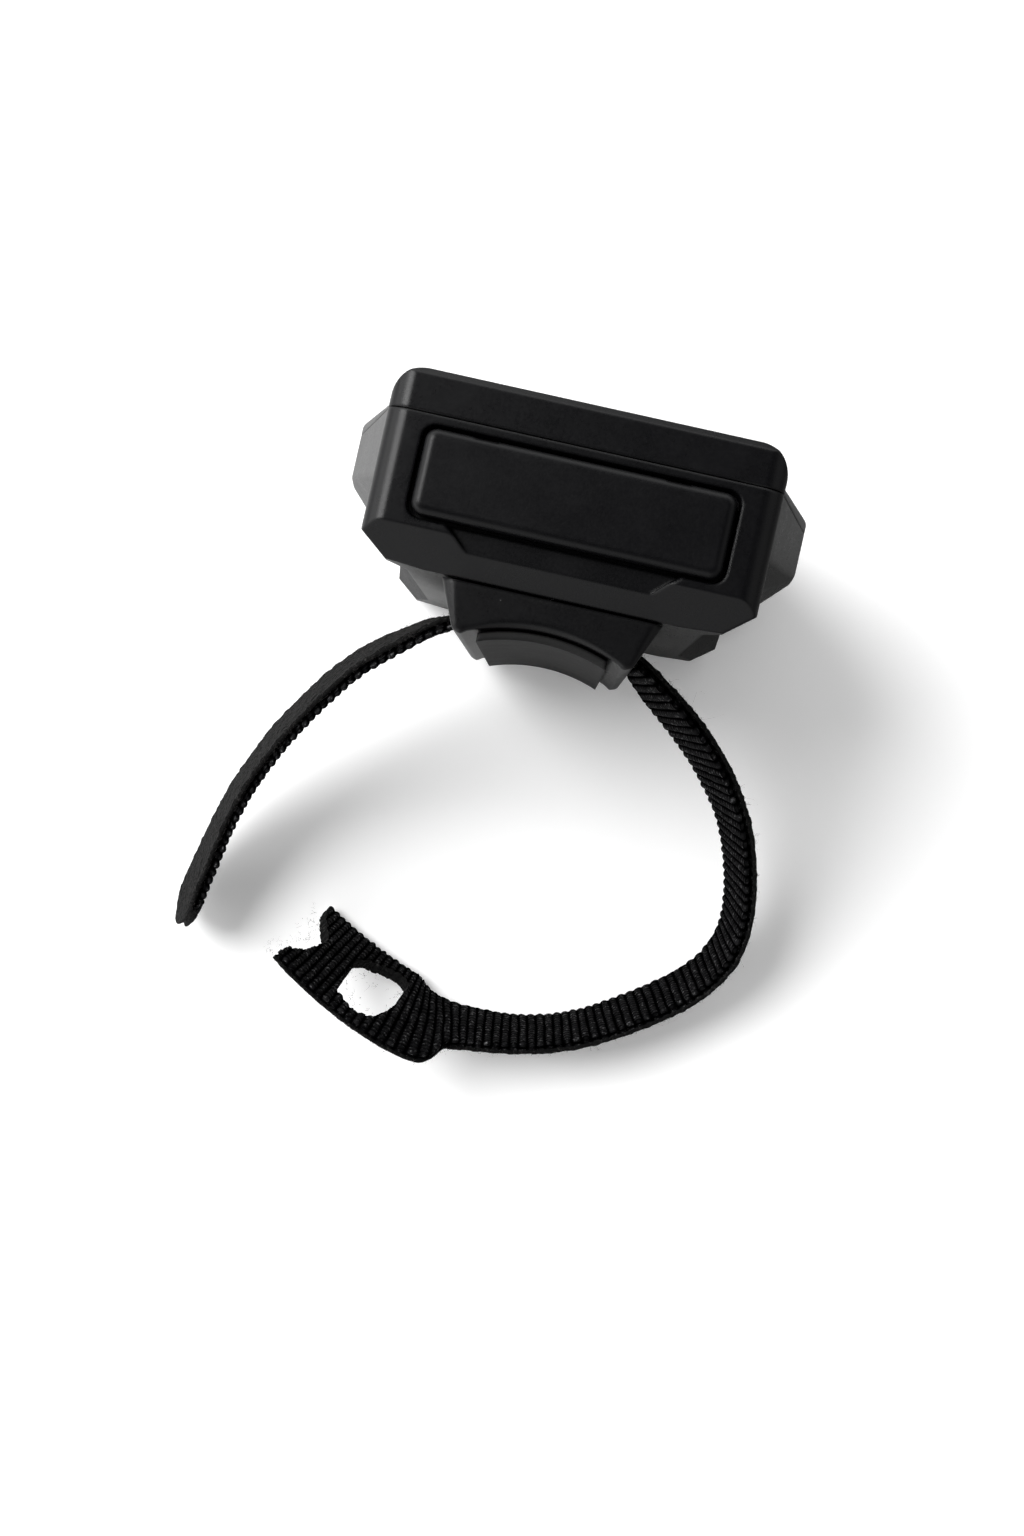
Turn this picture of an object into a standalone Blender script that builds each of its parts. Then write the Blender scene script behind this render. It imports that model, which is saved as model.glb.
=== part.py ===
"""Wireless flash trigger: a two-shell housing with side lugs, a port cover on its near end, and a
saddle mount on its rear face with a hook-and-loop tie that straps it to a light stand.

+X is the width, +Y points out of the front face, +Z runs from the far end, which is z = 0 and rests
on a table, to the near end with the port cover. Sizes below are millimetres."""

import math

import bmesh
import bpy
from mathutils import Matrix, Vector

MM = 0.001

# Housing
LENGTH = 72.5
END_WIDTH = 50.0
LUG_WIDTH = 62.4
THICKNESS = 24.0
WALL = 2.0
NEAR_WALL = 5.0
PARTING_Y = 6.5
GAP = 0.3
END_RADIUS = 3.0
FRONT_RADIUS = 4.3
FRONT_BEVEL = 0.9
REAR_CHAMFER = 4.6
WAIST_REACH = 22.4
WAIST_HALF_LENGTH = 24.0
WAIST_SLOPE = 0.31
MID_Z = LENGTH / 2

# Port cover and its hinge
RECESS = (-20.0, -6.4, 20.0, 5.3)
RECESS_FLOOR = LENGTH - 2.4
COVER = (-19.4, -5.9, 19.4, 4.75)
COVER_TOP = LENGTH + 1.5
COVER_BOTTOM = LENGTH - 1.5
HINGE_Y = 3.0
HINGE_Z = LENGTH - 0.2
EAR_X = 12.0
PIN_RADIUS = 0.4

# Saddle mount and tie
MOUNT_Z = (4.5, 68.0)
SADDLE_RADIUS = 25.0
SADDLE_Y = -16.3
SADDLE_AXIS_Y = SADDLE_Y - SADDLE_RADIUS
PAD_THICKNESS = 1.1
PAD_HALF_WIDTH = 8.3
SLOT_Z = (29.2, 43.3)
TIE_WIDTH = 12.0
TIE_THICKNESS = 2.0

# Front controls, all on the middle line except where the name says otherwise
OVERLAY = (-18.8, 7.0, 18.8, 65.5)
OVERLAY_FLOOR = 11.1
BUTTON_Z = 50.0
DIAL_Z = 28.5
SLIDER_Z = 13.0
SLIDER_TRAVEL = 4.0
LENS_Z = 60.5
SCREW_SPOTS = [(x, z) for x in (-16.2, 16.2) for z in (11.0, 61.5)]
MOUNT_SCREW_Z = (11.0, 61.5)
BOARD_Y = 0.6

X, Y, Z = Vector((1, 0, 0)), Vector((0, 1, 0)), Vector((0, 0, 1))
BLACK = (0.022, 0.022, 0.024)


# ---------------------------------------------------------------- scene and small helpers

def clear_scene():
    for obj in list(bpy.data.objects):
        bpy.data.objects.remove(obj, do_unlink=True)
    for name in ("flash_trigger", "cutters"):
        if name not in bpy.data.collections:
            bpy.context.scene.collection.children.link(bpy.data.collections.new(name))


def finish(name, colour, roughness, metallic=0.0):
    """A plain Principled material."""
    material = bpy.data.materials.new(name)
    material.use_nodes = True
    shader = material.node_tree.nodes["Principled BSDF"]
    shader.inputs["Base Color"].default_value = (*colour, 1.0)
    shader.inputs["Roughness"].default_value = roughness
    shader.inputs["Metallic"].default_value = metallic
    return material


def new_object(name, bm, material=None, origin=(0, 0, 0)):
    """A mesh object from a bmesh in millimetres of the shared frame, with its origin where stated.
    Without a material it is a cutter or a piece to be joined, and stays out of the model."""
    bmesh.ops.recalc_face_normals(bm, faces=bm.faces)
    bmesh.ops.transform(bm, matrix=Matrix.Scale(MM, 4) @ Matrix.Translation(-Vector(origin)), verts=bm.verts)
    mesh = bpy.data.meshes.new(name)
    bm.to_mesh(mesh)
    bm.free()
    obj = bpy.data.objects.new(name, mesh)
    obj.location = Vector(origin) * MM
    if material is None:
        bpy.data.collections["cutters"].objects.link(obj)
        obj.hide_render = True
        obj.display_type = "WIRE"
    else:
        bpy.data.collections["flash_trigger"].objects.link(obj)
        mesh.materials.append(material)
    return obj


def boolean(target, tool, operation="DIFFERENCE"):
    modifier = target.modifiers.new(operation.lower(), "BOOLEAN")
    modifier.operation = operation
    modifier.solver = "EXACT"
    modifier.object = tool
    return target


def bevel(obj, width, segments=2, angle=40.0):
    modifier = obj.modifiers.new("edges", "BEVEL")
    modifier.width = width * MM
    modifier.segments = segments
    modifier.limit_method = "ANGLE"
    modifier.angle_limit = math.radians(angle)
    return obj


def smooth(obj, angle=32.0):
    obj.data.shade_smooth()
    obj.data.set_sharp_from_angle(angle=math.radians(angle))
    return obj


def box(name, low, high, material=None, origin=(0, 0, 0)):
    bm = bmesh.new()
    size = Vector(high) - Vector(low)
    place = Matrix.Translation((Vector(low) + Vector(high)) / 2) @ Matrix.Diagonal((*size, 1.0))
    bmesh.ops.create_cube(bm, size=1.0, matrix=place)
    return new_object(name, bm, material, origin)


def rod(name, start, end, radius, material=None, end_radius=None, sides=24, origin=(0, 0, 0)):
    """A cylinder or cone from one point to another."""
    bm = bmesh.new()
    start, end = Vector(start), Vector(end)
    turn = Z.rotation_difference(end - start).to_matrix().to_4x4()
    place = Matrix.Translation((start + end) / 2) @ turn
    far = radius if end_radius is None else end_radius
    bmesh.ops.create_cone(bm, cap_ends=True, segments=sides, radius1=radius, radius2=far,
                          depth=(end - start).length, matrix=place)
    obj = new_object(name, bm, material, origin)
    return smooth(obj) if material else obj


def plate(name, outline, low, high, facing="Z", material=None, origin=(0, 0, 0)):
    """A flat outline, drawn as a filled 2D curve and extruded between two heights. Facing Z the
    outline is in X and Y, and facing Y it is in X and Z."""
    curve = bpy.data.curves.new(name, "CURVE")
    curve.dimensions = "2D"
    curve.fill_mode = "BOTH"
    curve.extrude = (high - low) / 2
    spline = curve.splines.new("POLY")
    spline.points.add(len(outline) - 1)
    for point, (a, b) in zip(spline.points, outline):
        point.co = (a, b, 0.0, 1.0)
    spline.use_cyclic_u = True
    drawn = bpy.data.objects.new(name, curve)
    bpy.context.scene.collection.objects.link(drawn)
    graph = bpy.context.evaluated_depsgraph_get()
    mesh = bpy.data.meshes.new_from_object(drawn.evaluated_get(graph))
    bm = bmesh.new()
    bm.from_mesh(mesh)
    bpy.data.objects.remove(drawn)
    bmesh.ops.remove_doubles(bm, verts=bm.verts, dist=0.001)
    bmesh.ops.dissolve_limit(bm, angle_limit=math.radians(1.0), verts=bm.verts, edges=bm.edges)
    lift = Matrix.Translation((0, 0, (low + high) / 2))
    if facing == "Y":
        lift = Matrix.Translation((0, (low + high) / 2, 0)) @ Matrix.Rotation(math.radians(90), 4, "X")
    bmesh.ops.transform(bm, matrix=lift, verts=bm.verts)
    return new_object(name, bm, material, origin)


def rounded(low_a, low_b, high_a, high_b, radius, steps=4):
    """The outline of a rectangle with round corners, anticlockwise."""
    corners = ((high_a - radius, high_b - radius, 0), (low_a + radius, high_b - radius, 90),
               (low_a + radius, low_b + radius, 180), (high_a - radius, low_b + radius, 270))
    outline = []
    for a, b, start in corners:
        for step in range(steps + 1):
            angle = math.radians(start + 90 * step / steps)
            outline.append((a + radius * math.cos(angle), b + radius * math.sin(angle)))
    return outline


# ---------------------------------------------------------------- housing form

def plane(direction, through):
    """A flat limit of a convex form: its unit normal and its distance from the housing's middle."""
    normal = Vector(direction).normalized()
    return normal, normal.dot(Vector(through))


def edge_round(first, second, centre, radius, steps):
    """Flat limits that follow an arc from one face direction to another."""
    limits = []
    for step in range(1, steps):
        angle = math.pi / 2 * step / steps
        normal = first * math.cos(angle) + second * math.sin(angle)
        limits.append((normal, normal.dot(centre) + radius))
    return limits


def end_rounds(side):
    """The round upright corners where a side meets the two ends."""
    limits = []
    for end in (-1, 1):
        centre = Vector((side * (END_WIDTH / 2 - END_RADIUS), 0, end * (MID_Z - END_RADIUS)))
        limits += edge_round(X * side, Z * end, centre, END_RADIUS, 5)
    return limits


def body_limits():
    """The middle block of the housing, without its lugs."""
    half_width, half_depth = END_WIDTH / 2, THICKNESS / 2
    limits = [(Y, half_depth), (-Y, half_depth), (Z, MID_Z), (-Z, MID_Z)]
    for side in (-1, 1):
        limits.append((X * side, half_width))
        centre = Vector((side * (half_width - FRONT_RADIUS), half_depth - FRONT_RADIUS, 0))
        limits += edge_round(X * side, Y, centre, FRONT_RADIUS, 5)
        limits += end_rounds(side)
        limits.append(plane((side * 2.75, -3.5, 0), (side * half_width, -8.9, 0)))
        limits.append(plane((side * 0.35, -5.0, 0), (side * 16.5, -half_depth, 0)))
    for end in (-1, 1):
        limits.append(plane((0, -1, end), (0, -half_depth, end * (MID_Z - REAR_CHAMFER))))
        limits.append(plane((0, 1, end), (0, half_depth, end * (MID_Z - FRONT_BEVEL))))
    return limits


def waist_limits(side):
    """The space cut from one rear edge between the two end blocks; it runs out towards both of them."""
    facing = Vector((side * 0.79, -0.61, 0)).normalized()
    limits = [(-facing, -WAIST_REACH)]
    for end in (-1, 1):
        slope = Z * (end * WAIST_SLOPE) - facing
        reach = WAIST_SLOPE * WAIST_HALF_LENGTH - WAIST_REACH
        limits.append((slope.normalized(), reach / slope.length))
    return limits


def lug_limits(side):
    """One side lug: it flares from both ends to its flat at mid length."""
    half = LUG_WIDTH / 2
    limits = [(X * side, half), (-X * side, -8.0), (Y, THICKNESS / 2), (-Y, 7.0)]
    for end in (-1, 1):
        limits.append((Z * end, MID_Z - 2.1))
        limits.append(plane((side * 30.3, 0, end * 6.3), (side * half, 0, end * 3.0)))
        limits.append(plane((side, 1, end * 0.24), (side * half, 8.0, end * 3.0)))
        limits.append(plane((side * 0.715, -0.692, end * 0.107), (side * half, 0.3, end * 3.0)))
    return limits


def convex(name, limits, inset=0.0, near_inset=0.0, extra=(), material=None):
    """A block cut down by flat limits, each moved inwards by the inset. Corners are rounded to the
    same fine grid, so that two forms with a limit in common meet exactly on it."""
    bm = bmesh.new()
    bmesh.ops.create_cube(bm, size=200.0)
    moved = [(normal, distance - (near_inset if normal == Z else inset)) for normal, distance in limits]
    for normal, distance in moved + list(extra):
        found = bmesh.ops.bisect_plane(bm, geom=bm.verts[:] + bm.edges[:] + bm.faces[:], dist=1e-5,
                                       plane_co=normal * distance, plane_no=normal, clear_outer=True)
        rim = [item for item in found["geom_cut"] if isinstance(item, bmesh.types.BMEdge)]
        if rim:
            bmesh.ops.contextual_create(bm, geom=rim)
    for vert in bm.verts:
        vert.co = [round(value, 4) for value in vert.co + Z * MID_Z]
    return new_object(name, bm, material)


def housing(name, inset=0.0, near_inset=0.0, extra=(), material=None):
    """The housing's outer form or, with an inset, the form of a space inside it."""
    whole = convex(name, body_limits(), inset, near_inset, extra, material)
    for side in (-1, 1):
        boolean(whole, convex(f"{name}_waist_{side}", waist_limits(side), -inset))
        lug = convex(f"{name}_lug_{side}", lug_limits(side), inset, near_inset, extra)
        boolean(whole, lug, "UNION")
    return whole


# ---------------------------------------------------------------- shells

def make_rear_shell():
    material = finish("rear_shell", BLACK, 0.5)
    split = (Y, PARTING_Y - GAP / 2)
    shell = housing("rear_shell", extra=[split], material=material)
    boolean(shell, housing("rear_space", WALL, NEAR_WALL, extra=[(Y, PARTING_Y + 1)]))
    for x, z in SCREW_SPOTS:
        boolean(shell, rod("rear_boss", (x, -10.5, z), (x, PARTING_Y - GAP / 2, z), 2.9, sides=20), "UNION")
    for x, z in SCREW_SPOTS:
        boolean(shell, rod("rear_pilot", (x, -1.5, z), (x, PARTING_Y + 1, z), 1.3, sides=16))
    for z in MOUNT_SCREW_Z:
        boolean(shell, rod("mount_hole", (0, -13, z), (0, -8, z), 1.4, sides=16))
    recess = plate("recess", rounded(*RECESS, 1.8), RECESS_FLOOR, LENGTH + 3)
    boolean(shell, recess)
    boolean(shell, box("port_opening", (-16.5, -4.9, LENGTH - NEAR_WALL - 1), (16.5, 1.6, RECESS_FLOOR + 1)))
    notch = [(-14.6, -5.5), (-14.6, -6.4), (-11.7, -9.1), (-11.7, -13), (11.7, -13), (11.7, -9.1),
             (14.6, -6.4), (14.6, -5.5)]
    boolean(shell, plate("finger_notch", notch, LENGTH - 1.7, LENGTH + 3))
    for side in (-1, 1):
        add_hinge_ear(shell, side * EAR_X)
    return smooth(shell)


def add_hinge_ear(shell, x):
    """A post on the recess's floor that holds one end of the hinge pin."""
    half, radius = 1.2, 0.9
    ear = box("ear", (x - half, HINGE_Y - radius, RECESS_FLOOR - 0.5), (x + half, HINGE_Y + radius, HINGE_Z))
    boolean(ear, rod("ear_eye", (x - half, HINGE_Y, HINGE_Z), (x + half, HINGE_Y, HINGE_Z), radius, sides=16),
            "UNION")
    boolean(shell, ear, "UNION")
    bore = rod("ear_bore", (x - 2, HINGE_Y, HINGE_Z), (x + 2, HINGE_Y, HINGE_Z), PIN_RADIUS + 0.1, sides=16)
    boolean(shell, bore)


def make_front_shell():
    material = finish("front_shell", BLACK, 0.48)
    split = (-Y, -(PARTING_Y + GAP / 2))
    shell = housing("front_shell", extra=[split], material=material)
    boolean(shell, housing("front_space", WALL, NEAR_WALL, extra=[(-Y, -(PARTING_Y - 1))]))
    for x, z in SCREW_SPOTS:
        boolean(shell, rod("front_boss", (x, PARTING_Y + GAP / 2, z), (x, 10.5, z), 2.9, sides=20), "UNION")
    for x, z in SCREW_SPOTS:
        boolean(shell, rod("screw_way", (x, 5, z), (x, 13, z), 1.3, sides=16))
        boolean(shell, rod("screw_seat", (x, 9.4, z), (x, 13, z), 2.15, sides=20))
    low_x, low_z, high_x, high_z = OVERLAY
    recess = rounded(low_x - GAP, low_z - GAP, high_x + GAP, high_z + GAP, 3.3)
    boolean(shell, plate("overlay_recess", recess, OVERLAY_FLOOR, 14, facing="Y"))
    cut_control_holes(shell, 9)
    return smooth(shell)


def cut_control_holes(target, low_y):
    """The holes for the test button, channel dial, power slider and status light."""
    boolean(target, rod("button_hole", (0, low_y, BUTTON_Z), (0, 14, BUTTON_Z), 6.0, sides=32))
    boolean(target, rod("dial_hole", (0, low_y, DIAL_Z), (0, 14, DIAL_Z), 3.0, sides=24))
    slot = rounded(-4.1, SLIDER_Z - 1.8, 4.1, SLIDER_Z + 1.8, 0.8, steps=3)
    boolean(target, plate("slider_slot", slot, low_y, 14, facing="Y"))
    boolean(target, rod("lens_hole", (0, low_y, LENS_Z), (0, 14, LENS_Z), 1.8, sides=16))


def make_gasket():
    """A rubber ring along the inner side of both shells, across the parting line."""
    material = finish("shell_gasket", (0.03, 0.03, 0.03), 0.8)
    limits = [(Y, 7.6), (-Y, -5.4)]
    ring = housing("shell_gasket", WALL + GAP, NEAR_WALL + GAP, extra=limits, material=material)
    boolean(ring, housing("gasket_space", WALL + 1.2, NEAR_WALL + 1.2, extra=[(Y, 8.6), (-Y, -4.4)]))
    return ring


def make_overlay():
    material = finish("front_overlay", (0.012, 0.012, 0.014), 0.25)
    panel = plate("front_overlay", rounded(*OVERLAY, 3.0), OVERLAY_FLOOR + GAP, THICKNESS / 2, "Y", material)
    cut_control_holes(panel, 11)
    return panel


def make_case_screws():
    steel = finish("case_screw", (0.4, 0.4, 0.42), 0.35, 1.0)
    for number, (x, z) in enumerate(SCREW_SPOTS, 1):
        screw = rod(f"case_screw_{number}", (x, 0.5, z), (x, 9.9, z), 1.0, steel, sides=12)
        boolean(screw, rod("head", (x, 9.75, z), (x, 10.8, z), 1.8, sides=20), "UNION")
        boolean(screw, rod("drive", (x, 10.2, z), (x, 12, z), 0.8, sides=6))


# ---------------------------------------------------------------- port cover

def make_port_cover():
    material = finish("port_cover", (0.02, 0.02, 0.021), 0.62)
    hinge = (0, HINGE_Y, HINGE_Z)
    cover = plate("port_cover", rounded(*COVER, 1.4), COVER_BOTTOM, COVER_TOP, "Z", material, hinge)
    bevel(cover, 0.7, 3)
    plug = plate("plug", rounded(-15.9, -4.1, 15.9, 1.2, 0.8), LENGTH - 3.6, COVER_BOTTOM + 0.5)
    boolean(plug, box("plug_space", (-14.7, -2.9, LENGTH - 5), (14.7, 0.0, COVER_BOTTOM)))
    boolean(cover, plug, "UNION")
    for side in (-1, 1):
        x = side * EAR_X
        way = box("ear_way", (x - 1.5, HINGE_Y - 1.2, LENGTH - 4), (x + 1.5, HINGE_Y + 4, HINGE_Z + 1.15))
        boolean(cover, way)
    boolean(cover, rod("pin_way", (-25, HINGE_Y, HINGE_Z), (25, HINGE_Y, HINGE_Z), PIN_RADIUS + 0.15, sides=16))
    return smooth(cover)


def make_hinge_pin():
    steel = finish("hinge_pin", (0.5, 0.5, 0.52), 0.3, 1.0)
    rod("hinge_pin", (-19.0, HINGE_Y, HINGE_Z), (19.0, HINGE_Y, HINGE_Z), PIN_RADIUS, steel, sides=16)


def make_ports():
    """The panel behind the cover, the USB socket and the sync jack."""
    plastic = finish("port_panel", (0.03, 0.03, 0.032), 0.55)
    top = LENGTH - NEAR_WALL - GAP
    panel = plate("port_panel", rounded(-19, -7, 19, 4, 1.0), top - 1.5, top, "Z", plastic)
    boolean(panel, box("usb_window", (-10.8, -4.2, top - 3), (-1.2, -0.4, top + 1)))
    boolean(panel, rod("jack_window", (6.5, -1.6, top - 3), (6.5, -1.6, top + 1), 2.8, sides=24))
    steel = finish("usb_socket", (0.55, 0.55, 0.57), 0.3, 1.0)
    socket = box("usb_socket", (-10.5, -3.9, 59.5), (-1.5, -0.7 - GAP, top - GAP), steel)
    bevel(socket, 0.8, 2)
    for low, high in ((-3.6, -2.75), (-2.15, -1.3)):
        boolean(socket, box("mouth", (-10.0, low, 61.5), (-2.0, high, top + 1)))
    black = finish("sync_jack", (0.02, 0.02, 0.02), 0.5)
    jack = box("sync_jack", (3.4, -4.6, 58.1), (9.6, 1.4, top - 1.8), black)
    boolean(jack, rod("nose", (6.5, -1.6, top - 3), (6.5, -1.6, top - GAP), 2.4, sides=24), "UNION")
    boolean(jack, rod("bore", (6.5, -1.6, 59), (6.5, -1.6, top + 1), 1.6, sides=20))


# ---------------------------------------------------------------- front controls

def make_test_button():
    material = finish("test_button", (0.05, 0.05, 0.052), 0.6)
    start = (0, 6.4, BUTTON_Z)
    button = rod("test_button", start, (0, 13.0, BUTTON_Z), 5.6, material, sides=32, origin=start)
    bevel(button, 0.6, 2)
    stem = rod("stem_cut", (0, 6.0, BUTTON_Z), (0, 9.2, BUTTON_Z), 8.0, sides=24)
    boolean(stem, rod("stem", (0, 5.0, BUTTON_Z), (0, 10.0, BUTTON_Z), 2.0, sides=20))
    boolean(button, stem)
    boolean(button, rod("flange", (0, 8.7, BUTTON_Z), (0, 9.7, BUTTON_Z), 6.6, sides=32), "UNION")
    dish = 30.0
    bm = bmesh.new()
    place = Matrix.Translation((0, 12.6 + dish, BUTTON_Z))
    bmesh.ops.create_uvsphere(bm, u_segments=48, v_segments=48, radius=dish, matrix=place)
    boolean(button, new_object("dish", bm))


def make_channel_dial():
    material = finish("channel_dial", (0.03, 0.03, 0.032), 0.5)
    start = (0, 5.6, DIAL_Z)
    dial = rod("channel_dial", (0, 12.4, DIAL_Z), (0, 15.0, DIAL_Z), 9.0, material, sides=48, origin=start)
    bevel(dial, 0.5, 2)
    for step in range(16):
        angle = 2 * math.pi * (step + 0.5) / 16
        x, z = 9.7 * math.cos(angle), DIAL_Z + 9.7 * math.sin(angle)
        boolean(dial, rod("grip", (x, 12, z), (x, 16, z), 1.2, sides=12))
    boolean(dial, rod("shaft", (0, 5.6, DIAL_Z), (0, 12.6, DIAL_Z), 2.5, sides=24), "UNION")
    boolean(dial, box("pointer", (-0.4, 14.6, DIAL_Z + 3.0), (0.4, 16, DIAL_Z + 8.0)))


def make_power_slider():
    material = finish("power_slider", (0.06, 0.06, 0.062), 0.55)
    rest_x = -SLIDER_TRAVEL / 2
    start = (rest_x, 5.6, SLIDER_Z)
    knob = box("power_slider", (rest_x - 1.8, 9.0, SLIDER_Z - 1.5), (rest_x + 1.8, 13.2, SLIDER_Z + 1.5),
               material, start)
    bevel(knob, 0.3, 2)
    for step in (-1, 0, 1):
        x = rest_x + 1.0 * step
        boolean(knob, box("rib", (x - 0.2, 12.9, SLIDER_Z - 2), (x + 0.2, 14, SLIDER_Z + 2)))
    flange = box("flange", (rest_x - 4.2, 8.6, SLIDER_Z - 2.4), (rest_x + 4.2, 9.7, SLIDER_Z + 2.4))
    boolean(knob, flange, "UNION")
    boolean(knob, box("stem", (rest_x - 1, 5.6, SLIDER_Z - 1), (rest_x + 1, 8.9, SLIDER_Z + 1)), "UNION")


def make_status_light():
    clear = finish("status_lens", (0.25, 0.3, 0.28), 0.15)
    lens = rod("status_lens", (0, 2.4, LENS_Z), (0, THICKNESS / 2 - 0.1, LENS_Z), 1.5, clear, sides=20)
    boolean(lens, rod("collar", (0, 8.6, LENS_Z), (0, 9.6, LENS_Z), 2.3, sides=20), "UNION")
    box("status_led", (-1.0, 0.9, LENS_Z - 0.6), (1.0, 2.0, LENS_Z + 0.6),
        finish("status_led", (0.8, 0.8, 0.7), 0.4))


# ---------------------------------------------------------------- electronics

def make_board():
    green = finish("main_board", (0.02, 0.07, 0.03), 0.45)
    outline = [(-12.7, 5.0), (12.7, 5.0), (12.7, 14.8), (21.0, 14.8), (21.0, 57.8), (2.6, 57.8),
               (2.6, 65.4), (-12.7, 65.4), (-12.7, 57.8), (-21.0, 57.8), (-21.0, 14.8), (-12.7, 14.8)]
    plate("main_board", outline, -BOARD_Y, BOARD_Y, "Y", green)
    above = BOARD_Y + GAP
    tin = finish("radio_shield", (0.6, 0.6, 0.62), 0.35, 1.0)
    bevel(box("radio_shield", (-19.5, above, 34.0), (-6.5, above + 2.2, 50.0), tin), 0.3, 2)
    epoxy = finish("controller_chip", (0.02, 0.02, 0.022), 0.4)
    bevel(box("controller_chip", (9.5, above, 36.0), (16.5, above + 0.9, 43.0), epoxy), 0.1, 1)
    button = box("test_switch", (-3.0, above, BUTTON_Z - 3.0), (3.0, above + 3.6, BUTTON_Z + 3.0), epoxy)
    plunger = rod("plunger", (0, above + 3, BUTTON_Z), (0, 5.6, BUTTON_Z), 1.7, sides=20)
    boolean(button, plunger, "UNION")
    metal = finish("channel_encoder", (0.5, 0.5, 0.52), 0.4, 1.0)
    bevel(box("channel_encoder", (-4.5, above, DIAL_Z - 4.5), (4.5, 5.2, DIAL_Z + 4.5), metal), 0.3, 2)
    box("power_switch", (-4.5, above, SLIDER_Z - 2.0), (4.5, 5.2, SLIDER_Z + 2.0), metal)


def tube(name, points, radius, material, resolution=2):
    """A wire along a list of points."""
    curve = bpy.data.curves.new(name, "CURVE")
    curve.dimensions = "3D"
    curve.bevel_depth = radius * MM
    curve.bevel_resolution = resolution
    curve.use_fill_caps = True
    spline = curve.splines.new("POLY")
    spline.points.add(len(points) - 1)
    for point, place in zip(spline.points, points):
        point.co = (*(Vector(place) * MM), 1.0)
    wire = bpy.data.objects.new(name, curve)
    bpy.data.collections["flash_trigger"].objects.link(wire)
    curve.materials.append(material)
    return wire


def make_antenna():
    """A spring antenna along X, between the power switch and the far end."""
    turns, per_turn, radius = 6, 12, 2.2
    points = []
    for step in range(turns * per_turn + 1):
        angle = 2 * math.pi * step / per_turn
        points.append((-8 + 16 * step / (turns * per_turn), 3.9 + radius * math.sin(angle),
                       7.4 + radius * math.cos(angle)))
    tube("antenna_coil", points, 0.3, finish("antenna_coil", (0.6, 0.35, 0.15), 0.35, 1.0))


def make_battery():
    foil = finish("battery_cell", (0.45, 0.46, 0.48), 0.4, 0.3)
    bevel(box("battery_cell", (-17.0, -9.5, 16.0), (17.0, -4.2, 54.0), foil), 1.0, 2)
    foam = finish("battery_foam", (0.1, 0.1, 0.1), 0.95)
    box("battery_foam", (-14.0, -3.9, 20.0), (14.0, -0.9, 50.0), foam)
    nylon = finish("battery_plug", (0.8, 0.78, 0.7), 0.5)
    bevel(box("battery_plug", (-17.0, -4.4, 54.4), (-12.0, -0.9, 57.6), nylon), 0.3, 1)
    for name, x, colour in (("red", -13.4, (0.5, 0.02, 0.02)), ("black", -15.4, (0.02, 0.02, 0.02))):
        route = [(x, -6.9, 54.3), (x, -6.9, 55.1), (x, -6.7, 55.7), (x, -6.1, 56.0), (x, -4.7, 56.0)]
        tube(f"battery_lead_{name}", route, 0.55, finish(f"lead_{name}", colour, 0.5))


# ---------------------------------------------------------------- saddle mount

def saddle_arc(radius, half_width, steps):
    """Points of an arc round the tube's axis, from -half_width to +half_width."""
    reach = math.asin(half_width / radius)
    angles = [reach * (2 * step / steps - 1) for step in range(steps + 1)]
    return [(radius * math.sin(angle), SADDLE_AXIS_Y + radius * math.cos(angle)) for angle in angles]


def make_mount_base():
    material = finish("mount_base", BLACK, 0.5)
    top = -THICKNESS / 2 - GAP
    sides = [(14.2, top), (-14.2, top), (-11.6, -18.2)]
    outline = sides + saddle_arc(SADDLE_RADIUS, 10.7, 14) + [(11.6, -18.2)]
    base = plate("mount_base", outline, *MOUNT_Z, "Z", material)
    bevel(base, 0.9, 3, angle=25.0)
    mouth = [(-16, -11), (-16, -19.2), (-12.3, -17.4), (-6.8, -14.95), (6.8, -14.95), (12.3, -17.6),
             (16, -19.4), (16, -11)]
    boolean(base, plate("tie_slot", mouth, *SLOT_Z))
    for z in MOUNT_SCREW_Z:
        boolean(base, rod("screw_pilot", (0, -15.5, z), (0, -11, z), 1.3, sides=16))
    smooth(base)
    steel = finish("mount_screw", (0.4, 0.4, 0.42), 0.35, 1.0)
    for number, z in enumerate(MOUNT_SCREW_Z, 1):
        screw = rod(f"mount_screw_{number}", (0, -15.1, z), (0, -9.2, z), 1.0, steel, sides=12)
        boolean(screw, rod("head", (0, -9.7, z), (0, -8.5, z), 2.2, sides=20), "UNION")
        boolean(screw, rod("drive", (0, -9.2, z), (0, -8, z), 0.8, sides=6))


def make_saddle_pad():
    material = finish("saddle_pad", (0.035, 0.035, 0.037), 0.8)
    outer = saddle_arc(SADDLE_RADIUS - GAP, PAD_HALF_WIDTH, 12)
    inner = saddle_arc(SADDLE_RADIUS - GAP - PAD_THICKNESS, PAD_HALF_WIDTH, 12)
    pad = plate("saddle_pad", outer + inner[::-1], MOUNT_Z[0] + 1.5, MOUNT_Z[1] - 1.5, "Z", material)
    bevel(pad, 0.35, 2, angle=50.0)
    smooth(pad)


# ---------------------------------------------------------------- tie

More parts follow.
